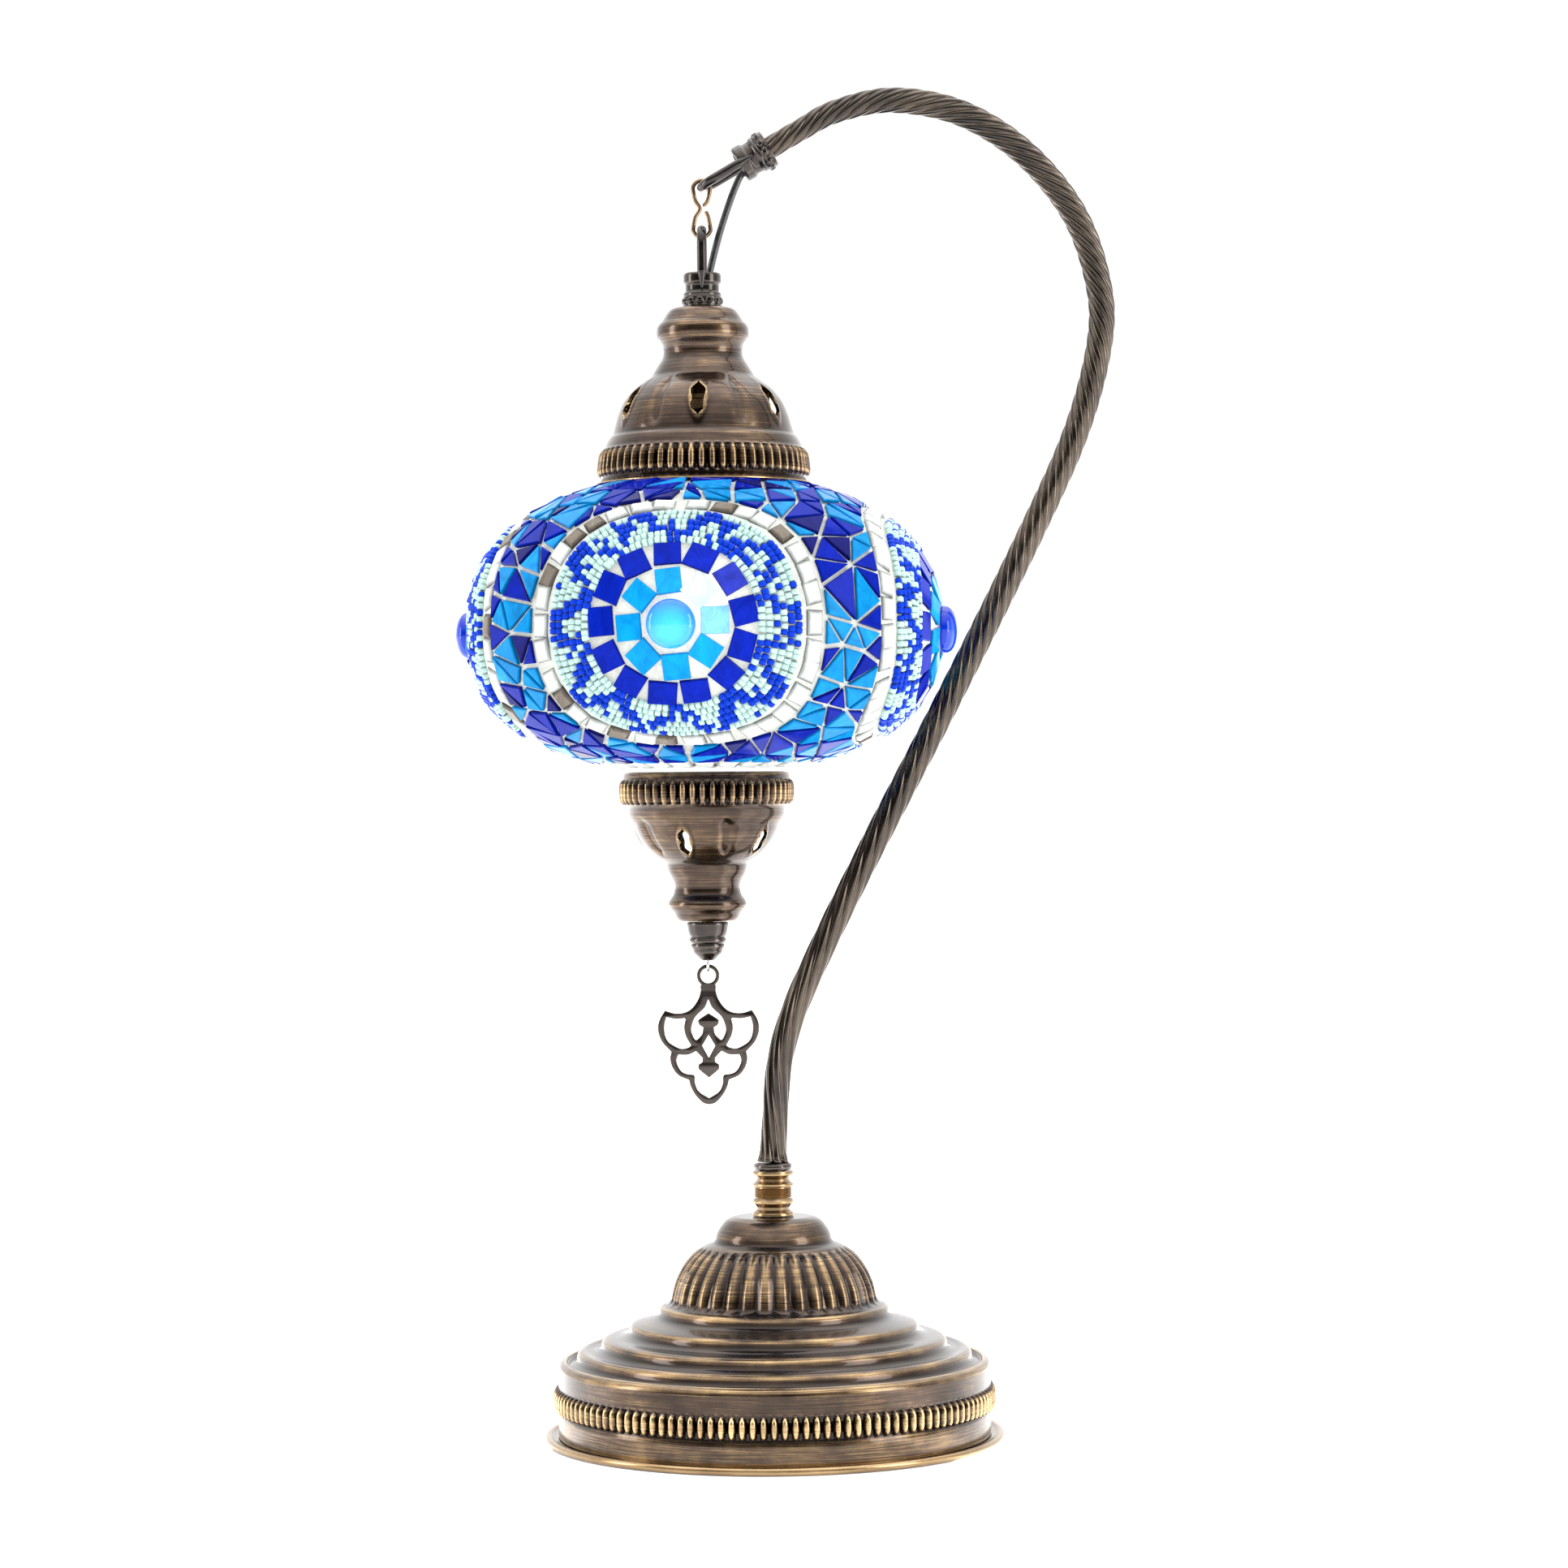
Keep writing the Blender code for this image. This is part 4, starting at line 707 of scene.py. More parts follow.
# ---- The bottom cap ----
# The same work, upside down: a gadroon band under the glass, a bowl of five lobes with smaller
# vents, a slim neck and a small round foot that the finial's stud goes through.
BOWL_GADROONS, BOWL_VENTS, BOWL_TURN = 53, 5, -18.5
bowl_band = np.stack([np.linspace(29.2, 29.1, 15), np.linspace(229.8, 221.2, 15)], 1)
bowl_face = bow([(28.5, 220.6), (27.8, 219.6), (27.5, 218.2), (27.3, 217.0), (26.7, 215.6), (25.5, 213.7),
                 (24.6, 211.4), (23.5, 209.1), (22.0, 206.8), (20.0, 204.5), (17.4, 202.3), (14.9, 200.6),
                 (14.2, 199.4), (13.5, 197.1), (12.1, 194.4), (11.5, 192.2), (11.9, 189.9), (13.2, 187.9),
                 (13.7, 186.3), (13.2, 184.9), (11.9, 183.2), (10.9, 181.4), (10.2, 180.65)], 0.5)
bowl_line = np.vstack([[(27.8, 232.2), (28.5, 232.2), (28.9, 231.2), (29.0, 230.3)], bowl_band, bowl_face,
                       [(8.0, 180.6), (2.3, 180.6)]])


def bowl_relief(turn, radius, height):
    """Slightly slanted creases and vent beads on the bowl, gadroons on the band."""
    if 202.5 < height < 217.5:
        slant = turn + (height - 210) * 0.006
        out = -1.9 * creases(slant, BOWL_VENTS, BOWL_TURN) * between(height, 202.8, 217.2, 4.0)
        return out + 0.8 * lip(turn, height, BOWL_VENTS, BOWL_TURN, 208.3, 9.6, 4.4, radius)
    if 221.2 < height < 229.8 and radius > 28.6:
        along = abs(height - 225.5) / 4.2
        width = max(0.02, 1 - along ** 2.8) ** 0.5 * 0.98
        share = np.minimum(1, np.abs(2 * np.mod(turn * BOWL_GADROONS / (2 * np.pi), 1) - 1) / width)
        return 1.8 * np.cos(share * np.pi / 2) ** 0.9 * max(0, 1 - along ** 4) ** 0.5 - 0.45
    return 0.0


bowl_counts = [BOWL_GADROONS * 10 if 221 < z < 230 and r > 28.8 else 480 if 202 < z < 219 else 100 for r,
               z in bowl_line]
slope = np.gradient(bowl_line, axis=0)
slope /= np.linalg.norm(slope, axis=1)[:, None]
inside = (bowl_line + np.stack([slope[:, 1], -slope[:, 0]], 1) * (SHEET + 0.1))[4::4]
inside = np.vstack([[(27.6, 232.2)], inside[(inside[:, 0] > 3) & (inside[:, 1] > 181.8)],
                    [(9.0, 181.4), (2.3, 181.4)]])
bowl = make("bottom_cap_spun", skin(turned(bowl_line, bowl_counts, bowl_relief, AXIS)
                                    + turned(inside[::-1], 96, None, AXIS), closed=True),
            antique, "shade", ["bottom_cap"], sharp=50)
worn(pierced(bowl, pointed_vent(BOWL_VENTS, BOWL_TURN, 208.3, 9.6, 4.4, 14, 36)), 1.1)

# ---- The mosaic on the globe ----
# A blown glass globe is covered with cut glass set in pale cement: four round medallions, each a
# glass boss, turquoise squares, cobalt squares, rows of seed beads in a stepped zigzag and a ring of
# clear and mirror pieces. Cobalt and turquoise triangles fill in between. The lamp inside is lit.
GLOBE_R, GLOBE_UP, GLOBE_DOWN, ROUND, GLOBE_Z = 83.0, 55.0, 49.2, 2.3, 280.967
MEDALLION_TURNS = np.radians(-6.7 + 90 * np.arange(4))
RIM_AT, MEDALLION_R = 49.2, 53.0
dice = np.random.default_rng(7)

# Arc length along the globe's outline, up and down from its widest level
# with exponent n: radius = R cos(t)^(2/n), height = H sin(t)^(2/n)
t = np.linspace(0, 1, 1500) ** 2 * np.pi / 2
arcs = []
for half_height in (GLOBE_UP, GLOBE_DOWN):
    r, z = GLOBE_R * np.maximum(np.cos(t), 0) ** (2 / ROUND), half_height * np.sin(t) ** (2 / ROUND)
    arcs.append((np.concatenate([[0], np.cumsum(np.hypot(np.diff(r), np.diff(z)))]), r, z))


def outline_at(v):
    """Radius and height of the globe at arc length v above (or below) its widest level."""
    v = np.asarray(v, float)
    up, down = arcs
    r = np.where(v >= 0, np.interp(v, up[0], up[1]), np.interp(-v, down[0], down[1]))
    z = np.where(v >= 0, np.interp(v, up[0], up[2]), -np.interp(-v, down[0], down[2]))
    return r, z


def on_globe(turn, v):
    """Point and outward normal at a turn about the axis and an arc length v.

    The normal of (r/R)^n + (z/H)^n = 1 is (r^(n-1)/R^n, z^(n-1)/H^n).
    """
    r, z = outline_at(v)
    half_height = np.where(z >= 0, GLOBE_UP, GLOBE_DOWN)
    nr = r ** (ROUND - 1) / GLOBE_R ** ROUND
    nz = np.sign(z) * np.abs(z) ** (ROUND - 1) / half_height ** ROUND
    size = np.hypot(nr, nz)
    out = np.stack([np.sin(turn), -np.cos(turn), np.zeros_like(turn)], -1)
    point = out * r[..., None] + (z + GLOBE_Z)[..., None] * np.array((0, 0, 1)) + np.array((SHADE_X, 0, 0))
    normal = out * (nr / size)[..., None] + (nz / size)[..., None] * np.array((0, 0, 1))
    return point, normal


def local(medallion, u, v):
    """Turn and arc length of a place u across and v up from a medallion's middle."""
    return MEDALLION_TURNS[medallion] + u / outline_at(v)[0], v


def lit(turn, v):
    """How strongly the bulb shows through: a hot spot beside each boss, and a glow that fades outwards."""
    off = np.abs(np.mod(turn[..., None] - MEDALLION_TURNS + np.pi, 2 * np.pi) - np.pi)
    k = off.argmin(-1)
    u = (np.mod(turn - MEDALLION_TURNS[k] + np.pi, 2 * np.pi) - np.pi) * outline_at(v)[0]
    d = np.hypot(u - 10.5, v - 7.5)
    return np.exp(-(d / 11.0) ** 2), np.exp(-(np.hypot(u - 4, v - 3) / 34.0) ** 2)


def tinted(thing, tint, light):
    """Stores a colour and a light colour on each point."""
    for label, values in (("tint", tint), ("light", light)):
        full = np.concatenate([values, np.ones((len(values), 1))], 1).astype(np.float32)
        thing.data.attributes.new(label, "FLOAT_COLOR", "POINT").data.foreach_set("color", full.ravel())
    return thing


def cut_glass(name, scale, stretch, depth, rough, bump, sheen=0.04):
    """Glass lit from behind: its own colour, a cloudy stain through it, a wavy polished face."""
    made, tree, shader = finish(name, Specular_IOR_Level=sheen, Coat_Weight=sheen / 3, Coat_Roughness=0.03,
                                Emission_Strength=1.0)
    place = add(tree, "TexCoord").outputs["Object"]
    stain = add(tree, "TexNoise", Scale=scale, Detail=6.0, Roughness=0.72, Distortion=1.5,
                Vector=add(tree, "Mapping", Vector=place, Scale=stretch).outputs[0]).outputs[0]
    wave = add(tree, "TexNoise", Vector=place, Scale=160.0, Detail=2.0).outputs[0]
    strong = tune(tree, stain, 0.32, 0.68, 1 - depth, 1 + depth)
    for label, socket in (("tint", "Base Color"), ("light", "Emission Color")):
        held = add(tree, "Attribute", attribute_name=label).outputs["Color"]
        shade = add(tree, "VectorMath", operation="SCALE", _0=held, Scale=strong).outputs[0]
        tree.links.new(shade, shader.inputs[socket])
    tree.links.new(tune(tree, stain, 0.3, 0.7, *rough), shader.inputs["Roughness"])
    bumped(tree, shader, wave, bump, 0.0005)
    return made


cement = cut_glass("pale_cement", 500.0, (1, 1, 1), 0.16, (0.25, 0.5), 0.3)
tile_glass = cut_glass("tile_glass", 130.0, (1, 1, 0.6), 0.3, (0.05, 0.16), 0.12)
bead_glass = cut_glass("bead_glass", 900.0, (1, 1, 1), 0.35, (0.04, 0.12), 0.1)

COBALT, NAVY, TURQUOISE, SKY = (0.001, 0.008, 0.20), (0.004, 0.005, 0.085), (0.002, 0.15, 0.38), (0.008,
                                                                                                  0.18,
                                                                                                  0.50)
# The mirror pieces' colour is a painted reflection: dark grey-brown in place of what they mirror.
AQUA, CLEAR, PAINTED_MIRROR_REFLECTION, CEMENT = (0.32, 0.46, 0.43), (0.50, 0.52, 0.50), (0.13, 0.11, 0.09), (0.42, 0.43, 0.40)


def glowing(colour, hot, near, own, gain):
    """Light colour: its own colour at a fading strength, bleached to white in the hot spot."""
    colour = np.asarray(colour, float)
    base = colour * (own + gain * near)[:, None]
    return base + (0.45 * colour + 0.55) * (2.6 * hot ** 3.2)[:, None]


rows = np.concatenate([np.linspace(-76.5, 0, 40), np.linspace(0, 76, 40)[1:]])[::-1]
rows = rows[(outline_at(rows)[0] > 28.2)]
around_globe = np.linspace(0, 2 * np.pi, 180, endpoint=False)
bed = []
for depth, order in ((0.95, 1), (1.95, -1)):
    for v in rows[::order]:
        point, normal = on_globe(around_globe - np.pi / 2, np.full(180, v))
        bed.append(point - normal * depth)
bed_turn = np.tile(around_globe - np.pi / 2, 2 * len(rows))
bed_v = np.repeat(np.concatenate([rows, rows[::-1]]), 180)
bed_hot, bed_near = lit(np.mod(bed_turn, 2 * np.pi), bed_v)
cement_bed = make("cement_bed", skin(bed, closed=True), cement, "shade", ["mosaic_skin"],
                  sharp=0)
tinted(cement_bed, np.tile(CEMENT, (len(bed_v), 1)), glowing(CEMENT, bed_hot, bed_near, 0.2, 0.8))


def slabs(corners, normal, thick=1.3, edge=0.3):
    """Flat tiles with a chamfered edge, from (tiles, sides, 3) face corners and (tiles, 3) normals.

    Three rings of points: the foot, thick below the face; the side, edge below it; and the face itself,
    drawn in towards the middle by edge.
    """
    tiles, sides, _ = corners.shape
    middle = corners.mean(1, keepdims=True)
    reach = np.linalg.norm((corners + np.roll(corners, -1, 1)) / 2 - middle, axis=2).min(1)
    drawn = (1 - edge / reach)[:, None, None]
    n = normal[:, None, :]
    points = np.stack([corners - n * thick, corners - n * edge, middle + (corners - middle) * drawn], 1)
    base = (np.arange(tiles) * 3 * sides)[:, None]
    i = np.arange(sides)
    j = (i + 1) % sides
    quads = np.concatenate([np.stack([i, j, sides + j, sides + i], 1),
                            np.stack([sides + i, sides + j, 2 * sides + j, 2 * sides + i], 1)])
    faces = [(base[:, :, None] + quads).reshape(-1, 4), base + 2 * sides + i, base + i[::-1]]
    return points.reshape(-1, 3), faces, 3 * sides


def lay(name, corners_at, lift, colours, own, gain, tip=0.05, edge=0.3, rim=0.6):
    """Tiles from corners given as (turn, v): each lies flat on the globe, tipped a little at random."""
    turn, v = corners_at[..., 0], corners_at[..., 1]
    point, _ = on_globe(turn, v)
    centre_turn, centre_v = turn.mean(1), v.mean(1)
    middle, normal = on_globe(centre_turn, centre_v)
    flat = point - ((point - middle[:, None]) * normal[:, None]).sum(-1, keepdims=True) * normal[:, None]
    tilt = dice.normal(0, tip, flat.shape[:1] + (3,))
    flat = flat + (np.clip(((flat - middle[:, None]) * tilt[:, None]).sum(-1, keepdims=True), -0.35, 0.35)
                   + lift) \
        * normal[:, None]
    points, faces, each = slabs(flat, normal, edge=edge)
    # Painted shade on each tile's sides: the foot ring is darkened to half of rim and the side ring to rim,
    # in colour and glow alike; the face keeps full strength.
    painted_ring_shade = np.tile(np.repeat((rim * 0.5, rim, 1.0), each // 3), len(flat))[:, None]
    hot, near = lit(np.mod(centre_turn, 2 * np.pi), centre_v)
    light = glowing(colours, hot, near, own * dice.uniform(0.75, 1.25, len(hot)), gain)
    thing = make(name, (points, faces), tile_glass, "shade", sharp=20)
    return tinted(thing, np.repeat(colours, each, 0) * painted_ring_shade, np.repeat(light, each, 0) * painted_ring_shade)


def ring_tiles(radius, count, wide, deep, spin, uneven):
    """Corner places of rectangles standing round each medallion's middle."""
    beta = (np.arange(count) + spin) * 2 * np.pi / count
    found = []
    for k in range(4):
        b = beta + dice.normal(0, 0.02, count) + k
        turned_by = b + dice.normal(0, uneven, count)
        sizes = dice.uniform(0.94, 1.05, (count, 2))
        along, across = np.array((-1, -1, 1, 1)), np.array((-1, 1, 1, -1))
        du, dv = along * deep / 2 * sizes[:, :1], across * wide / 2 * sizes[:, 1:]
        u = radius * np.cos(b)[:, None] + du * np.cos(turned_by)[:, None] - dv * np.sin(turned_by)[:, None]
        v = radius * np.sin(b)[:, None] + du * np.sin(turned_by)[:, None] + dv * np.cos(turned_by)[:, None]
        found.append(np.stack(local(k, u, v), -1)[:, ::-1])
    return np.concatenate(found)


turquoise_at = ring_tiles(14.5, 8, 8.9, 8.9, 0.1, 0.12)
lay("turquoise_squares", turquoise_at, 0.0, np.tile(TURQUOISE, (len(turquoise_at), 1)), 0.5, 1.0)
cobalt_at = ring_tiles(24.6, 13, 9.5, 8.6, 0.4, 0.08)
lay("cobalt_squares", cobalt_at, 0.0, np.tile(COBALT, (len(cobalt_at), 1)), 0.45, 1.0)
clear_at = ring_tiles(RIM_AT, 34, 8.5, 6.2, 0.0, 0.04)
silvered = dice.random(len(clear_at)) < 0.17
# The clear and mirror pieces get a deep painted shade on their wide chamfers (rim 0.14).
lay("clear_rectangles", clear_at, 0.1, np.where(silvered[:, None], PAINTED_MIRROR_REFLECTION, CLEAR), 0.45, 0.3,
    edge=1.15, rim=0.14)
v_top, v_low, v_foot = (np.interp(-r, -arcs[k][1], arcs[k][0]) for r,
                        k in ((34.0, 0), (38.2, 1), (30.2, 1)))
edge_count = 26
edge_turn = (np.arange(edge_count) * 2 * np.pi / edge_count)[:, None]
half_turn = np.pi / edge_count * 0.93
edge_at = np.stack([edge_turn + half_turn * np.array((-1, 1, 1, -1)),
                    np.broadcast_to(np.array((-v_foot + 0.4, -v_foot + 0.4, -v_low - 0.5, -v_low - 0.5)),
                                    (edge_count, 4))], -1)
lay("clear_edge_row", edge_at, 0.1, np.tile(CLEAR, (edge_count, 1)), 0.4, 0.2, edge=1.1, rim=0.3)


def between_medallions(sector):
    """Triangles that fill the field between two medallions, as (triangles, 3, 2) of turn and v.

    Corners stand on both medallions' edges, along the two caps and on an uneven lattice between them,
    and are joined so that no corner lies inside another triangle's circle.
    """
    start = MEDALLION_TURNS[sector]
    fixed = []
    for side in (0, 1):
        b = np.arange(32) * 2 * np.pi / 32 + 0.05
        u, v = MEDALLION_R * np.cos(b), MEDALLION_R * np.sin(b)
        fixed.append(np.stack([start + side * np.pi / 2 + u / outline_at(v)[0], v], 1))
        for low, high in ((MEDALLION_R, v_top), (-v_low, -MEDALLION_R)):
            levels = np.linspace(low, high, max(2, round((high - low) / 8.5) + 1))
            fixed.append(np.stack([np.full(len(levels), start + side * np.pi / 2), levels], 1))
    fixed.append(np.stack([start + np.arange(1, 6) / 6 * np.pi / 2, np.full(5, v_top)], 1))
    fixed.append(np.stack([start + np.arange(1, 6) / 6 * np.pi / 2, np.full(5, -v_low)], 1))
    gx, gy = np.meshgrid(np.arange(-7, 8), np.arange(-8, 9))
    free = np.stack([(gx + 0.5 * (gy % 2)) * 11.6, gy * 10.2], -1).reshape(-1, 2) + dice.normal(0, 1.3,
                                                                                                (gx.size,
                                                                                                 2))
    inside = (free[:, 1] < v_top - 6) & (free[:, 1] > 6 - v_low)
    free = free[inside]
    free = np.stack([start + np.pi / 4 + free[:, 0] / outline_at(free[:, 1])[0], free[:, 1]], 1)
    places = np.concatenate(fixed)

    def reach(p):
        r = outline_at(p[:, 1])[0]
        return np.minimum(np.hypot((p[:, 0] - start) * r, p[:, 1]),
                          np.hypot((p[:, 0] - start - np.pi / 2) * r, p[:, 1]))

    places = places[(places[:, 0] > start - 1e-6) & (places[:, 0] < start + np.pi / 2 + 1e-6)
                    & (reach(places) > MEDALLION_R - 0.5)]
    free = free[(free[:, 0] > start + 0.05) & (free[:, 0] < start + np.pi / 2 - 0.05)
                & (reach(free) > MEDALLION_R + 5.5)]
    both = np.concatenate([places, free])
    flat = np.stack([(both[:, 0] - start - np.pi / 4) * outline_at(both[:, 1])[0], both[:, 1]], 1)
    apart = np.linalg.norm(flat[:, None] - flat[None], axis=2) + 99 * np.triu(np.ones((len(flat),) * 2))
    flat = flat[apart.min(1) > 4.2]
    made = delaunay_2d_cdt([Vector(p) for p in flat.tolist()], [], [], 0, 1e-4)
    flat, tris = np.array([tuple(p) for p in made[0]]), np.array([t for t in made[2] if len(t) == 3])
    corner = flat[tris]
    middle = corner.mean(1, keepdims=True)
    sides = np.linalg.norm(corner - np.roll(corner, 1, 1), axis=2)
    e, f = corner[:, 1] - corner[:, 0], corner[:, 2] - corner[:, 0]
    area = (e[:, 0] * f[:, 1] - e[:, 1] * f[:, 0]) / 2
    corner = np.where((area < 0)[:, None, None], corner[:, ::-1], corner)
    inradius = 2 * np.abs(area) / sides.sum(1)
    turn = start + np.pi / 4 + middle[:, 0, 0] / outline_at(middle[:, 0, 1])[0]
    spot = np.stack([turn, middle[:, 0, 1]], 1)
    kept = (inradius > 1.3) & (reach(spot) > MEDALLION_R) & (turn > start) & (turn < start + np.pi / 2)
    corner, middle, inradius = corner[kept], middle[kept], inradius[kept]
    corner = middle + (corner - middle) * (1 - 0.62 / inradius)[:, None, None]
    return np.stack([start + np.pi / 4 + corner[..., 0] / outline_at(corner[..., 1])[0], corner[..., 1]],
                    -1)


triangles = np.concatenate([between_medallions(k) for k in range(4)])
pick = dice.choice(4, len(triangles), p=(0.42, 0.30, 0.16, 0.12))
lay("blue_triangles", triangles, 0.25, np.array((COBALT, TURQUOISE, SKY, NAVY))[pick], 0.5, 0.5, 0.035,
    rim=0.8)

# ---- The seed beads ----
# Short glass tubes 2.8 mm across, strung and laid in six rings round each medallion, cobalt and pale
# aqua in a stepped zigzag.
BEAD_ROWS, BEAD_R, BEAD_L = 6, 1.38, 2.15
bead_places, bead_colours = [], []
for k in range(4):
    for row in range(BEAD_ROWS):
        radius = 30.3 + 2.55 * row
        count = round(2 * np.pi * radius / (BEAD_L + 0.06))
        b = (np.arange(count) + dice.uniform(-0.12, 0.12, count)) * 2 * np.pi / count + row * 0.4
        away = radius + dice.normal(0, 0.10, count)
        zig = np.abs(2 * np.mod(b * 10 / (2 * np.pi) + k * 0.3, 1) - 1) * 6.0 - 0.5
        blue = (np.abs(np.round(zig) - row) < 1.5) ^ (dice.random(count) < 0.13)
        bead_places.append(np.stack([np.full(count, k), away * np.cos(b), away * np.sin(b), b], 1))
        bead_colours.append(np.where(blue[:, None], (0.003, 0.028, 0.36), AQUA))
bead_places, bead_colours = np.concatenate(bead_places), np.concatenate(bead_colours)
bead_turn, bead_v = local(bead_places[:, 0].astype(int), bead_places[:, 1], bead_places[:, 2])
point, normal = on_globe(bead_turn, bead_v)
ahead = on_globe(*local(bead_places[:, 0].astype(int), bead_places[:, 1] - 0.1 * np.sin(bead_places[:, 3]),
                        bead_places[:, 2] + 0.1 * np.cos(bead_places[:, 3])))[0] - point
ahead /= np.linalg.norm(ahead, axis=1)[:, None]
aside = np.cross(normal, ahead)
turn = np.arange(8) * np.pi / 4
barrel = [np.stack([np.full(8, x), r * np.cos(turn), r * np.sin(turn)], 1)
          for x, r in ((0.5, 0.62), (0.30, 0.98), (-0.30, 0.98), (-0.5, 0.62))]
shape, faces = skin(barrel)
faces += [np.arange(8)[None, ::-1], np.arange(24, 32)[None, :]]
size = dice.uniform(0.93, 1.04, (len(point), 1, 1))
shape = shape[None] * (BEAD_L, BEAD_R, BEAD_R) * size
beads = (shape[..., :1] * ahead[:, None] + shape[..., 1:2] * aside[:, None] + shape[..., 2:]
         * normal[:, None]
         + (point - 0.35 * normal)[:, None])
starts = np.arange(len(point))[:, None, None] * 32
faces = [(starts + f[None]).reshape(-1, f.shape[1]) for f in faces]
hot, near = lit(np.mod(bead_turn, 2 * np.pi), bead_v)
light = glowing(bead_colours, hot, near, 0.5 * dice.uniform(0.7, 1.3, len(hot)), 0.4)
# Painted shade at both ends of each bead, where it meets its neighbours: the end rings are darkened to 0.3
# in colour and glow.
painted_ring_shade = np.tile(np.repeat((0.3, 1.0, 1.0, 0.3), 8), len(point))[:, None]
tinted(make("seed_beads", (beads.reshape(-1, 3), faces), bead_glass, "shade", sharp=0),
       np.repeat(bead_colours, 32, 0) * painted_ring_shade, np.repeat(light, 32, 0) * painted_ring_shade)

# ---- The four glass bosses ----
# Pressed half-round cabochons, one in the middle of each medallion, set in clear cement.
boss_glass = cut_glass("boss_glass", 60.0, (1, 1, 1), 0.12, (0.02, 0.05), 0.02, sheen=0.35)
for side, boss_turn, deep, pale in (("front", 0, (0.008, 0.11, 0.50), (0.04, 0.36, 0.80)),
                                    ("right", 1, (0.0, 0.014, 0.26), (0.006, 0.055, 0.48)),
                                    ("back", 2, (0.0, 0.014, 0.26), (0.006, 0.055, 0.48)),
                                    ("left", 3, (0.0, 0.014, 0.26), (0.006, 0.055, 0.48))):
    a = MEDALLION_TURNS[boss_turn]
    rise = np.linspace(0, np.pi / 2, 15)[1:]
    dome_line = [(8.25 * math.sin(s), 4.7 * max(math.cos(s), 0) ** 0.8) for s in rise] + [(8.25, -0.9),
                                                                                          (7.0, -1.0)]
    rings = [np.array([(0.0, 0.0, 4.7)])] + turned(dome_line, 48) + [np.array([(0.0, 0.0, -1.0)])]
    points, faces = skin(rings)
    spread = np.hypot(points[:, 0], points[:, 1]) / 8.25
    lower = points[:, 1] / 8.25
    out, across = np.array((math.sin(a), -math.cos(a), 0)), np.array((math.cos(a), math.sin(a), 0))
    placed = points[:, :1] * across + points[:, 1:2] * (0, 0, 1) + points[:, 2:] * out
    placed = placed + np.array((SHADE_X, 0, GLOBE_Z)) + out * (GLOBE_R + 0.3)
    # Painted glow of the bulb through each dome: the colour runs from deep at the edge to pale in the
    # middle and towards the bottom, in colour and glow alike.
    share = np.clip(1 - spread ** 2.5 - 0.35 * lower, 0, 1)[:, None]
    tint = np.array(deep) * (1 - share) + np.array(pale) * share
    boss = make("boss_glass_" + side, (placed, faces), boss_glass, "shade",
                ["boss_" + side], sharp=0)
    tinted(boss, tint, tint * 0.75)

# ---- The finial, the eye and the pierced pendant ----
# A dark turned finial closes the foot of the bottom cap. A wire eye in its end carries a flat pierced
# pendant, cast in bronze with raised, worn edges round six openings.
finial_line = np.vstack([[(2.3, 180.29), (6.9, 180.29)],
                         bow([(7.3, 180.1), (7.4, 179.4), (7.2, 178.3), (6.9, 176.6), (6.55, 175.6),
                              (6.15, 174.9), (6.4, 174.3), (6.5, 173.7), (6.2, 173.1), (5.75, 172.7),
                              (5.85, 172.2), (5.9, 171.7), (5.6, 171.0), (5.2, 170.3), (5.1, 169.8),
                              (4.7, 169.1), (3.6, 168.0), (2.4, 166.9)], 0.2),
                         [(0.85, 166.89), (0.85, 174.49), (2.3, 174.49)]])
worn(make("finial_turned", skin(turned(finial_line, 72, None, AXIS), closed=True), dark_cast, "shade",
          ["finial"], sharp=40), 0.8, 1)

zinc, tree, shader = finish("zinc_plated_steel", Metallic=1.0)
place = add(tree, "TexCoord").outputs["Object"]
cloud = add(tree, "TexNoise", Vector=place, Scale=420.0, Detail=5.0).outputs[0]
tree.links.new(ramp(tree, cloud, ((0.3, (0.36, 0.36, 0.36)), (0.7, (0.60, 0.60, 0.58)))),
               shader.inputs["Base Color"])
tree.links.new(tune(tree, cloud, 0.3, 0.7, 0.42, 0.26), shader.inputs["Roughness"])

eye_line = [(0.0, 174.19), (0.0, 171.0), (0.0, 168.7)]
eye_line += [(2.4 * math.sin(a), 165.54 + 2.4 * math.cos(a)) for a in np.radians(np.linspace(25, 345, 21))]
eye_path = bow([(x, 0, z) for x, z in eye_line], 0.3)
turn = np.linspace(0, 2 * np.pi, 12, endpoint=False)[None, :]
even = np.full((len(eye_path), 1), 0.55)
points, faces = skin([eye_path[:1]] + list(rings_along(eye_path, even * np.cos(turn), even * np.sin(turn)))
                     + [eye_path[-1:]])
points = np.stack([-points[:, 1] + SHADE_X, points[:, 0], points[:, 2]], 1)
make("eye_wire", (points, faces), zinc, "shade", ["eye_pin"])
dress(zinc, "stem_nipple", "stem_washer", "stem_nut", "bulb_base")

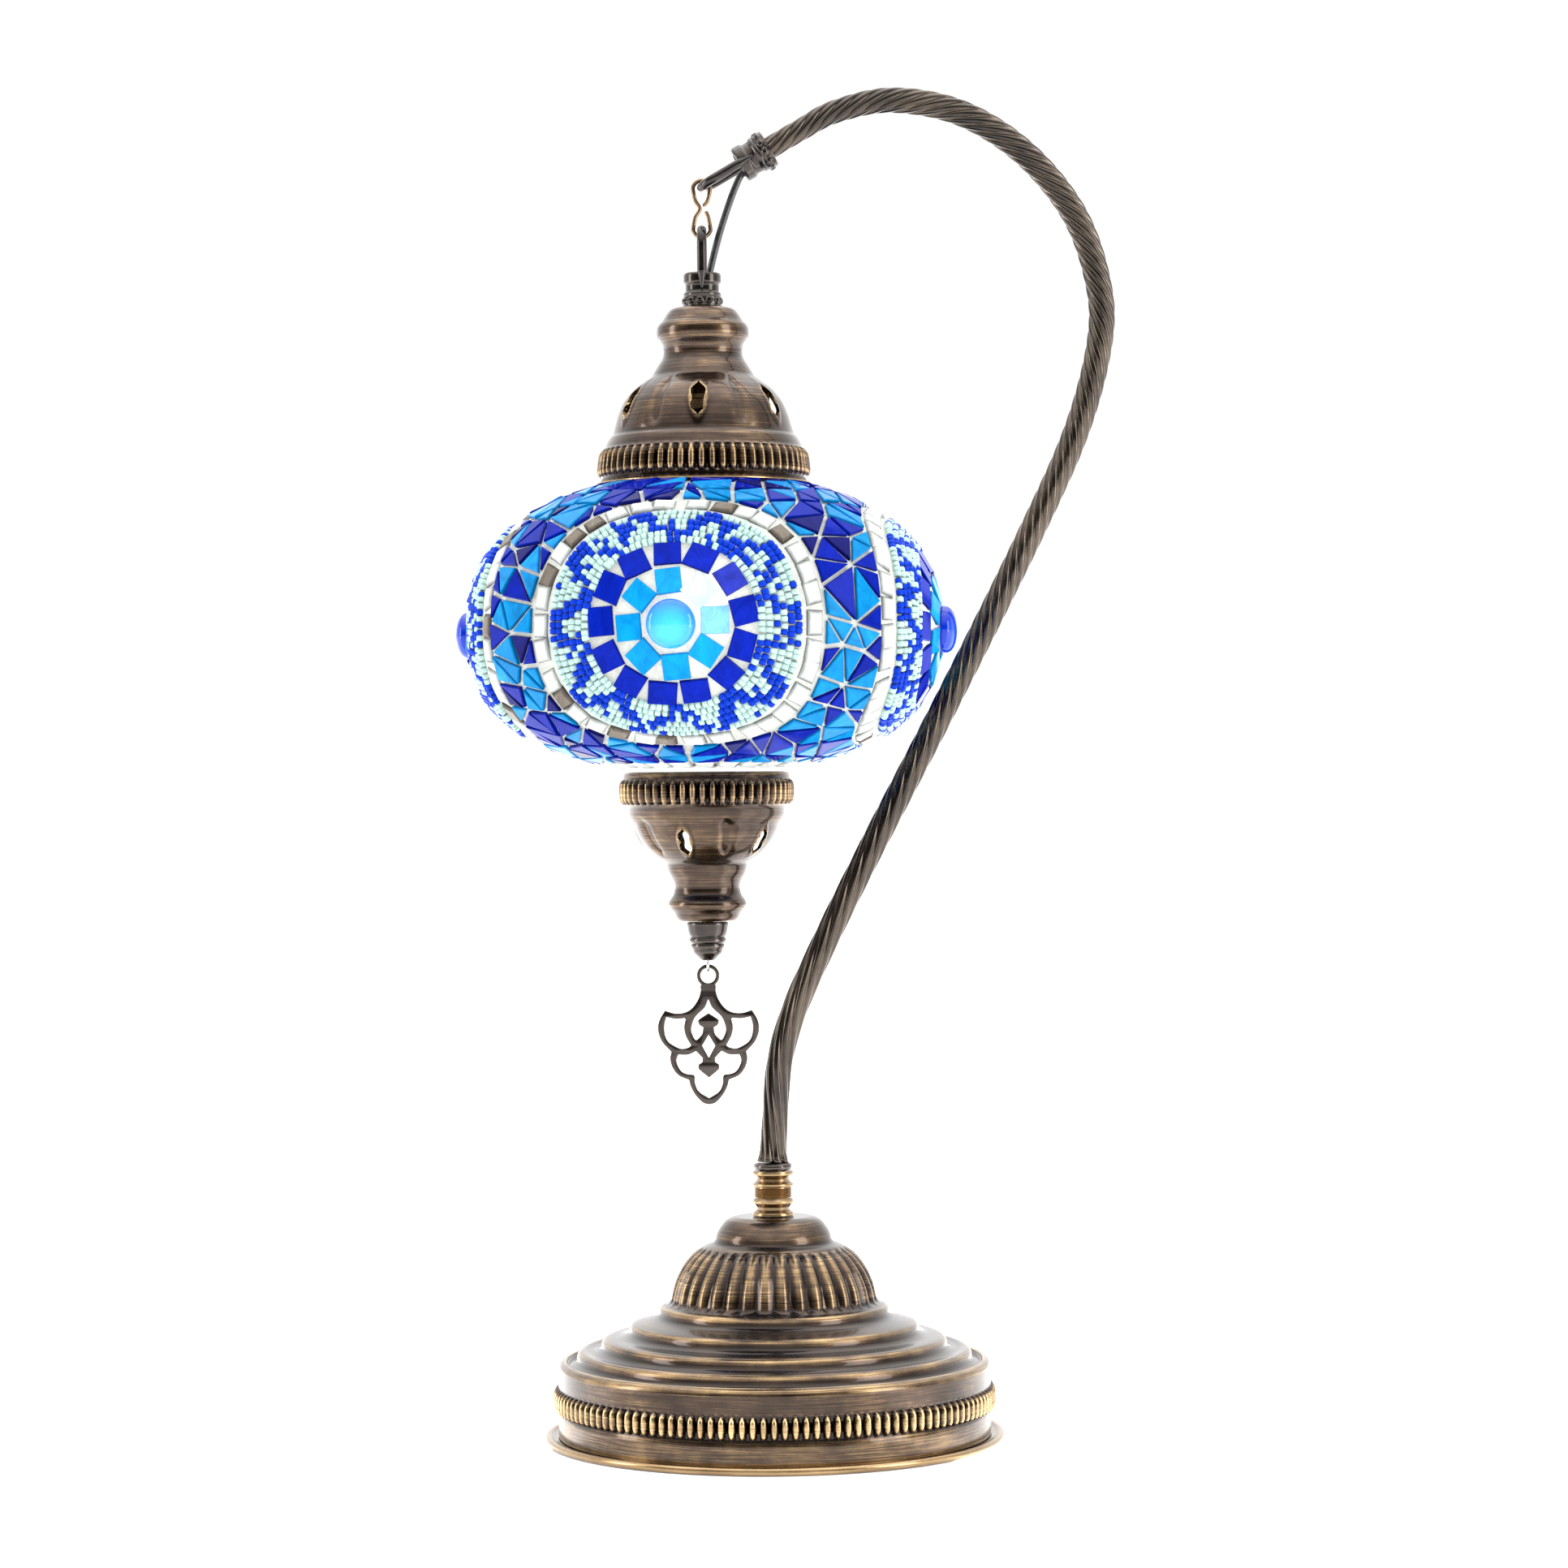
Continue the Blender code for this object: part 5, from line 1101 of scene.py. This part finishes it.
RING_Z = 161.49
RIM = [(2.9, -3.4), (2.65, -5.1), (3.4, -7.8), (5.3, -10.8), (7.6, -12.5), (10.2, -13.1), (12.5, -12.9),
       (15.2, -12.0), (17.1, -15.3), (17.7, -18.8), (16.3, -22.9), (13.1, -26.5), (13.5, -29.0),
       (12.7, -32.0), (10.6, -34.7), (7.0, -36.3), (6.5, -38.4), (4.9, -41.5), (2.3, -44.2), (0.0, -44.9)]
ARCH = [(0.0, -8.3), (1.3, -11.2), (4.4, -14.2), (5.7, -17.2), (5.9, -19.5), (4.7, -22.2), (3.9, -22.1),
        (2.3, -20.3), (1.9, -18.0), (3.2, -17.2), (3.7, -15.9), (3.2, -15.1), (0.0, -13.0)]
WING = [(8.3, -14.8), (11.4, -15.0), (14.6, -14.4), (15.3, -17.2), (15.1, -20.6), (14.0, -22.9),
        (11.9, -24.4), (9.5, -25.4), (7.2, -25.0), (6.2, -24.3), (8.0, -21.0), (8.6, -18.0), (8.1, -15.3),
        (8.3, -14.8)]
HEART = [(4.4, -26.3), (7.2, -27.5), (10.6, -27.5), (11.2, -29.8), (9.9, -32.8), (8.0, -34.1), (5.3, -34.5),
         (4.8, -35.4), (4.7, -37.7), (3.4, -40.4), (0.0, -42.6)]
SPADE = [(0.0, -35.6), (3.4, -32.8), (3.8, -32.2), (3.6, -30.9), (2.3, -30.1), (2.3, -28.6)]


def eased(line, *cusps):
    """Smooth line through points that keeps a sharp corner at each cusp."""
    stops = [0, *cusps, len(line) - 1]
    parts = [bow(line[a:b + 1], 0.5) for a, b in zip(stops, stops[1:])]
    return np.vstack([parts[0]] + [p[1:] for p in parts[1:]])


def mirrored(half):
    """A half outline and its mirror image, as one closed line."""
    other = half[::-1] * (-1, 1)
    return np.vstack([half, other[np.abs(other[:, 0]) > 1e-6]])


crown = np.array([(4 * math.cos(a), 4 * math.sin(a)) for a in np.radians(np.linspace(-50, 230, 37))])
rim = eased(RIM, 1, 7, 11, 15)[1:]
hole = np.array([(2.6 * math.cos(a), 2.6 * math.sin(a)) for a in np.arange(32) * np.pi / 16])
spade = eased(SPADE, 1, 3, 4)
heart = np.vstack([mirrored(eased(HEART, 2, 6)), (spade * (-1, 1))[::-1], spade[1:]])
diamond = np.array([(0.0, -20.7), (2.2, -24.4), (0.0, -28.6), (-2.2, -24.4)])
wing = eased(WING, 2, 9)[:-1]
openings = [np.vstack([crown[::-1], rim, (rim[:-1] * (-1, 1))[::-1]]), hole, mirrored(eased(ARCH, 8)),
            diamond, wing,
            wing * (-1, 1), heart]
drawing = bpy.data.curves.new("pendant", "CURVE")
drawing.dimensions, drawing.fill_mode = "2D", "BOTH"
drawing.extrude, drawing.bevel_depth = 0.55 * MM, 0.35 * MM
drawing.bevel_resolution, drawing.offset = 2, -0.35 * MM
for line in openings:
    spline = drawing.splines.new("POLY")
    spline.points.add(len(line) - 1)
    spline.points.foreach_set("co", np.concatenate([line * MM, np.zeros((len(line), 1)),
                                                    np.ones((len(line), 1))], 1).ravel())
    spline.use_cyclic_u = True
blank = bpy.data.objects.new("pendant", drawing)
scene.collection.objects.link(blank)
bpy.context.view_layer.update()
mesh = bpy.data.meshes.new_from_object(blank.evaluated_get(bpy.context.evaluated_depsgraph_get()))
bpy.data.objects.remove(blank, do_unlink=True)
flat = np.empty(len(mesh.vertices) * 3)
mesh.vertices.foreach_get("co", flat)
flat = flat.reshape(-1, 3)
mesh.vertices.foreach_set("co", np.stack([flat[:, 0] + SHADE_X * MM, -flat[:, 2], flat[:, 1] + RING_Z * MM],
                                         1).ravel())
mesh.materials.clear()
mesh.materials.append(dark_cast)
pendant = bpy.data.objects.new("pendant_cast", mesh)
scene.collection.objects.link(pendant)
work = bmesh.new()
work.from_mesh(mesh)
bmesh.ops.remove_doubles(work, verts=work.verts, dist=1e-6)
bmesh.ops.recalc_face_normals(work, faces=work.faces)
work.to_mesh(mesh)
work.free()
mesh.shade_smooth()
mesh.set_sharp_from_angle(angle=math.radians(50))
worn(pendant, 0.6, 0)
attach(pendant, "pendant")
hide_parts("ornament")

# ---- What is hidden inside ----
# An iron ballast disc, the cable through stand and shade, the bulb in its holder, the clear globe that
# carries the mosaic, and the silicone that bonds the bottom cap to it.
iron, tree, shader = finish("ballast_iron", Metallic=0.7)
place = add(tree, "TexCoord").outputs["Object"]
cloud = add(tree, "TexNoise", Vector=place, Scale=150.0, Detail=7.0).outputs[0]
tree.links.new(ramp(tree, cloud, ((0.3, (0.03, 0.028, 0.027)), (0.75, (0.11, 0.10, 0.095)))),
               shader.inputs["Base Color"])
tree.links.new(tune(tree, cloud, 0.3, 0.7, 0.55, 0.8), shader.inputs["Roughness"])
dress(iron, "ballast_disc")
dress(pvc, "cable_in_stand", "cable_in_shade")

clear, tree, shader = finish("clear_glass", Transmission_Weight=1.0, IOR=1.5)
place = add(tree, "TexCoord").outputs["Object"]
wave = add(tree, "TexNoise", Vector=place, Scale=45.0, Detail=3.0).outputs[0]
tree.links.new(ramp(tree, wave, ((0.3, (0.90, 0.94, 0.93)), (0.7, (0.98, 0.99, 0.99)))),
               shader.inputs["Base Color"])
tree.links.new(tune(tree, wave, 0.3, 0.7, 0.01, 0.05), shader.inputs["Roughness"])
dress(clear, "glass_globe")

opal, tree, shader = finish("opal_bulb_glass", Roughness=0.25, Emission_Strength=2.0)
place = add(tree, "TexCoord").outputs["Object"]
wave = add(tree, "TexNoise", Vector=place, Scale=60.0, Detail=2.0).outputs[0]
warm = ramp(tree, wave, ((0.3, (1.0, 0.90, 0.78)), (0.7, (1.0, 0.95, 0.86))))
tree.links.new(warm, shader.inputs["Base Color"])
tree.links.new(warm, shader.inputs["Emission Color"])
dress(opal, "bulb_glass")

bond, tree, shader = finish("clear_silicone", Subsurface_Weight=0.2, Subsurface_Scale=0.002)
place = add(tree, "TexCoord").outputs["Object"]
wave = add(tree, "TexNoise", Vector=place, Scale=200.0, Detail=3.0).outputs[0]
tree.links.new(ramp(tree, wave, ((0.3, (0.62, 0.64, 0.63)), (0.7, (0.78, 0.80, 0.79)))),
               shader.inputs["Base Color"])
tree.links.new(tune(tree, wave, 0.3, 0.7, 0.25, 0.4), shader.inputs["Roughness"])
dress(bond, "bottom_bond")
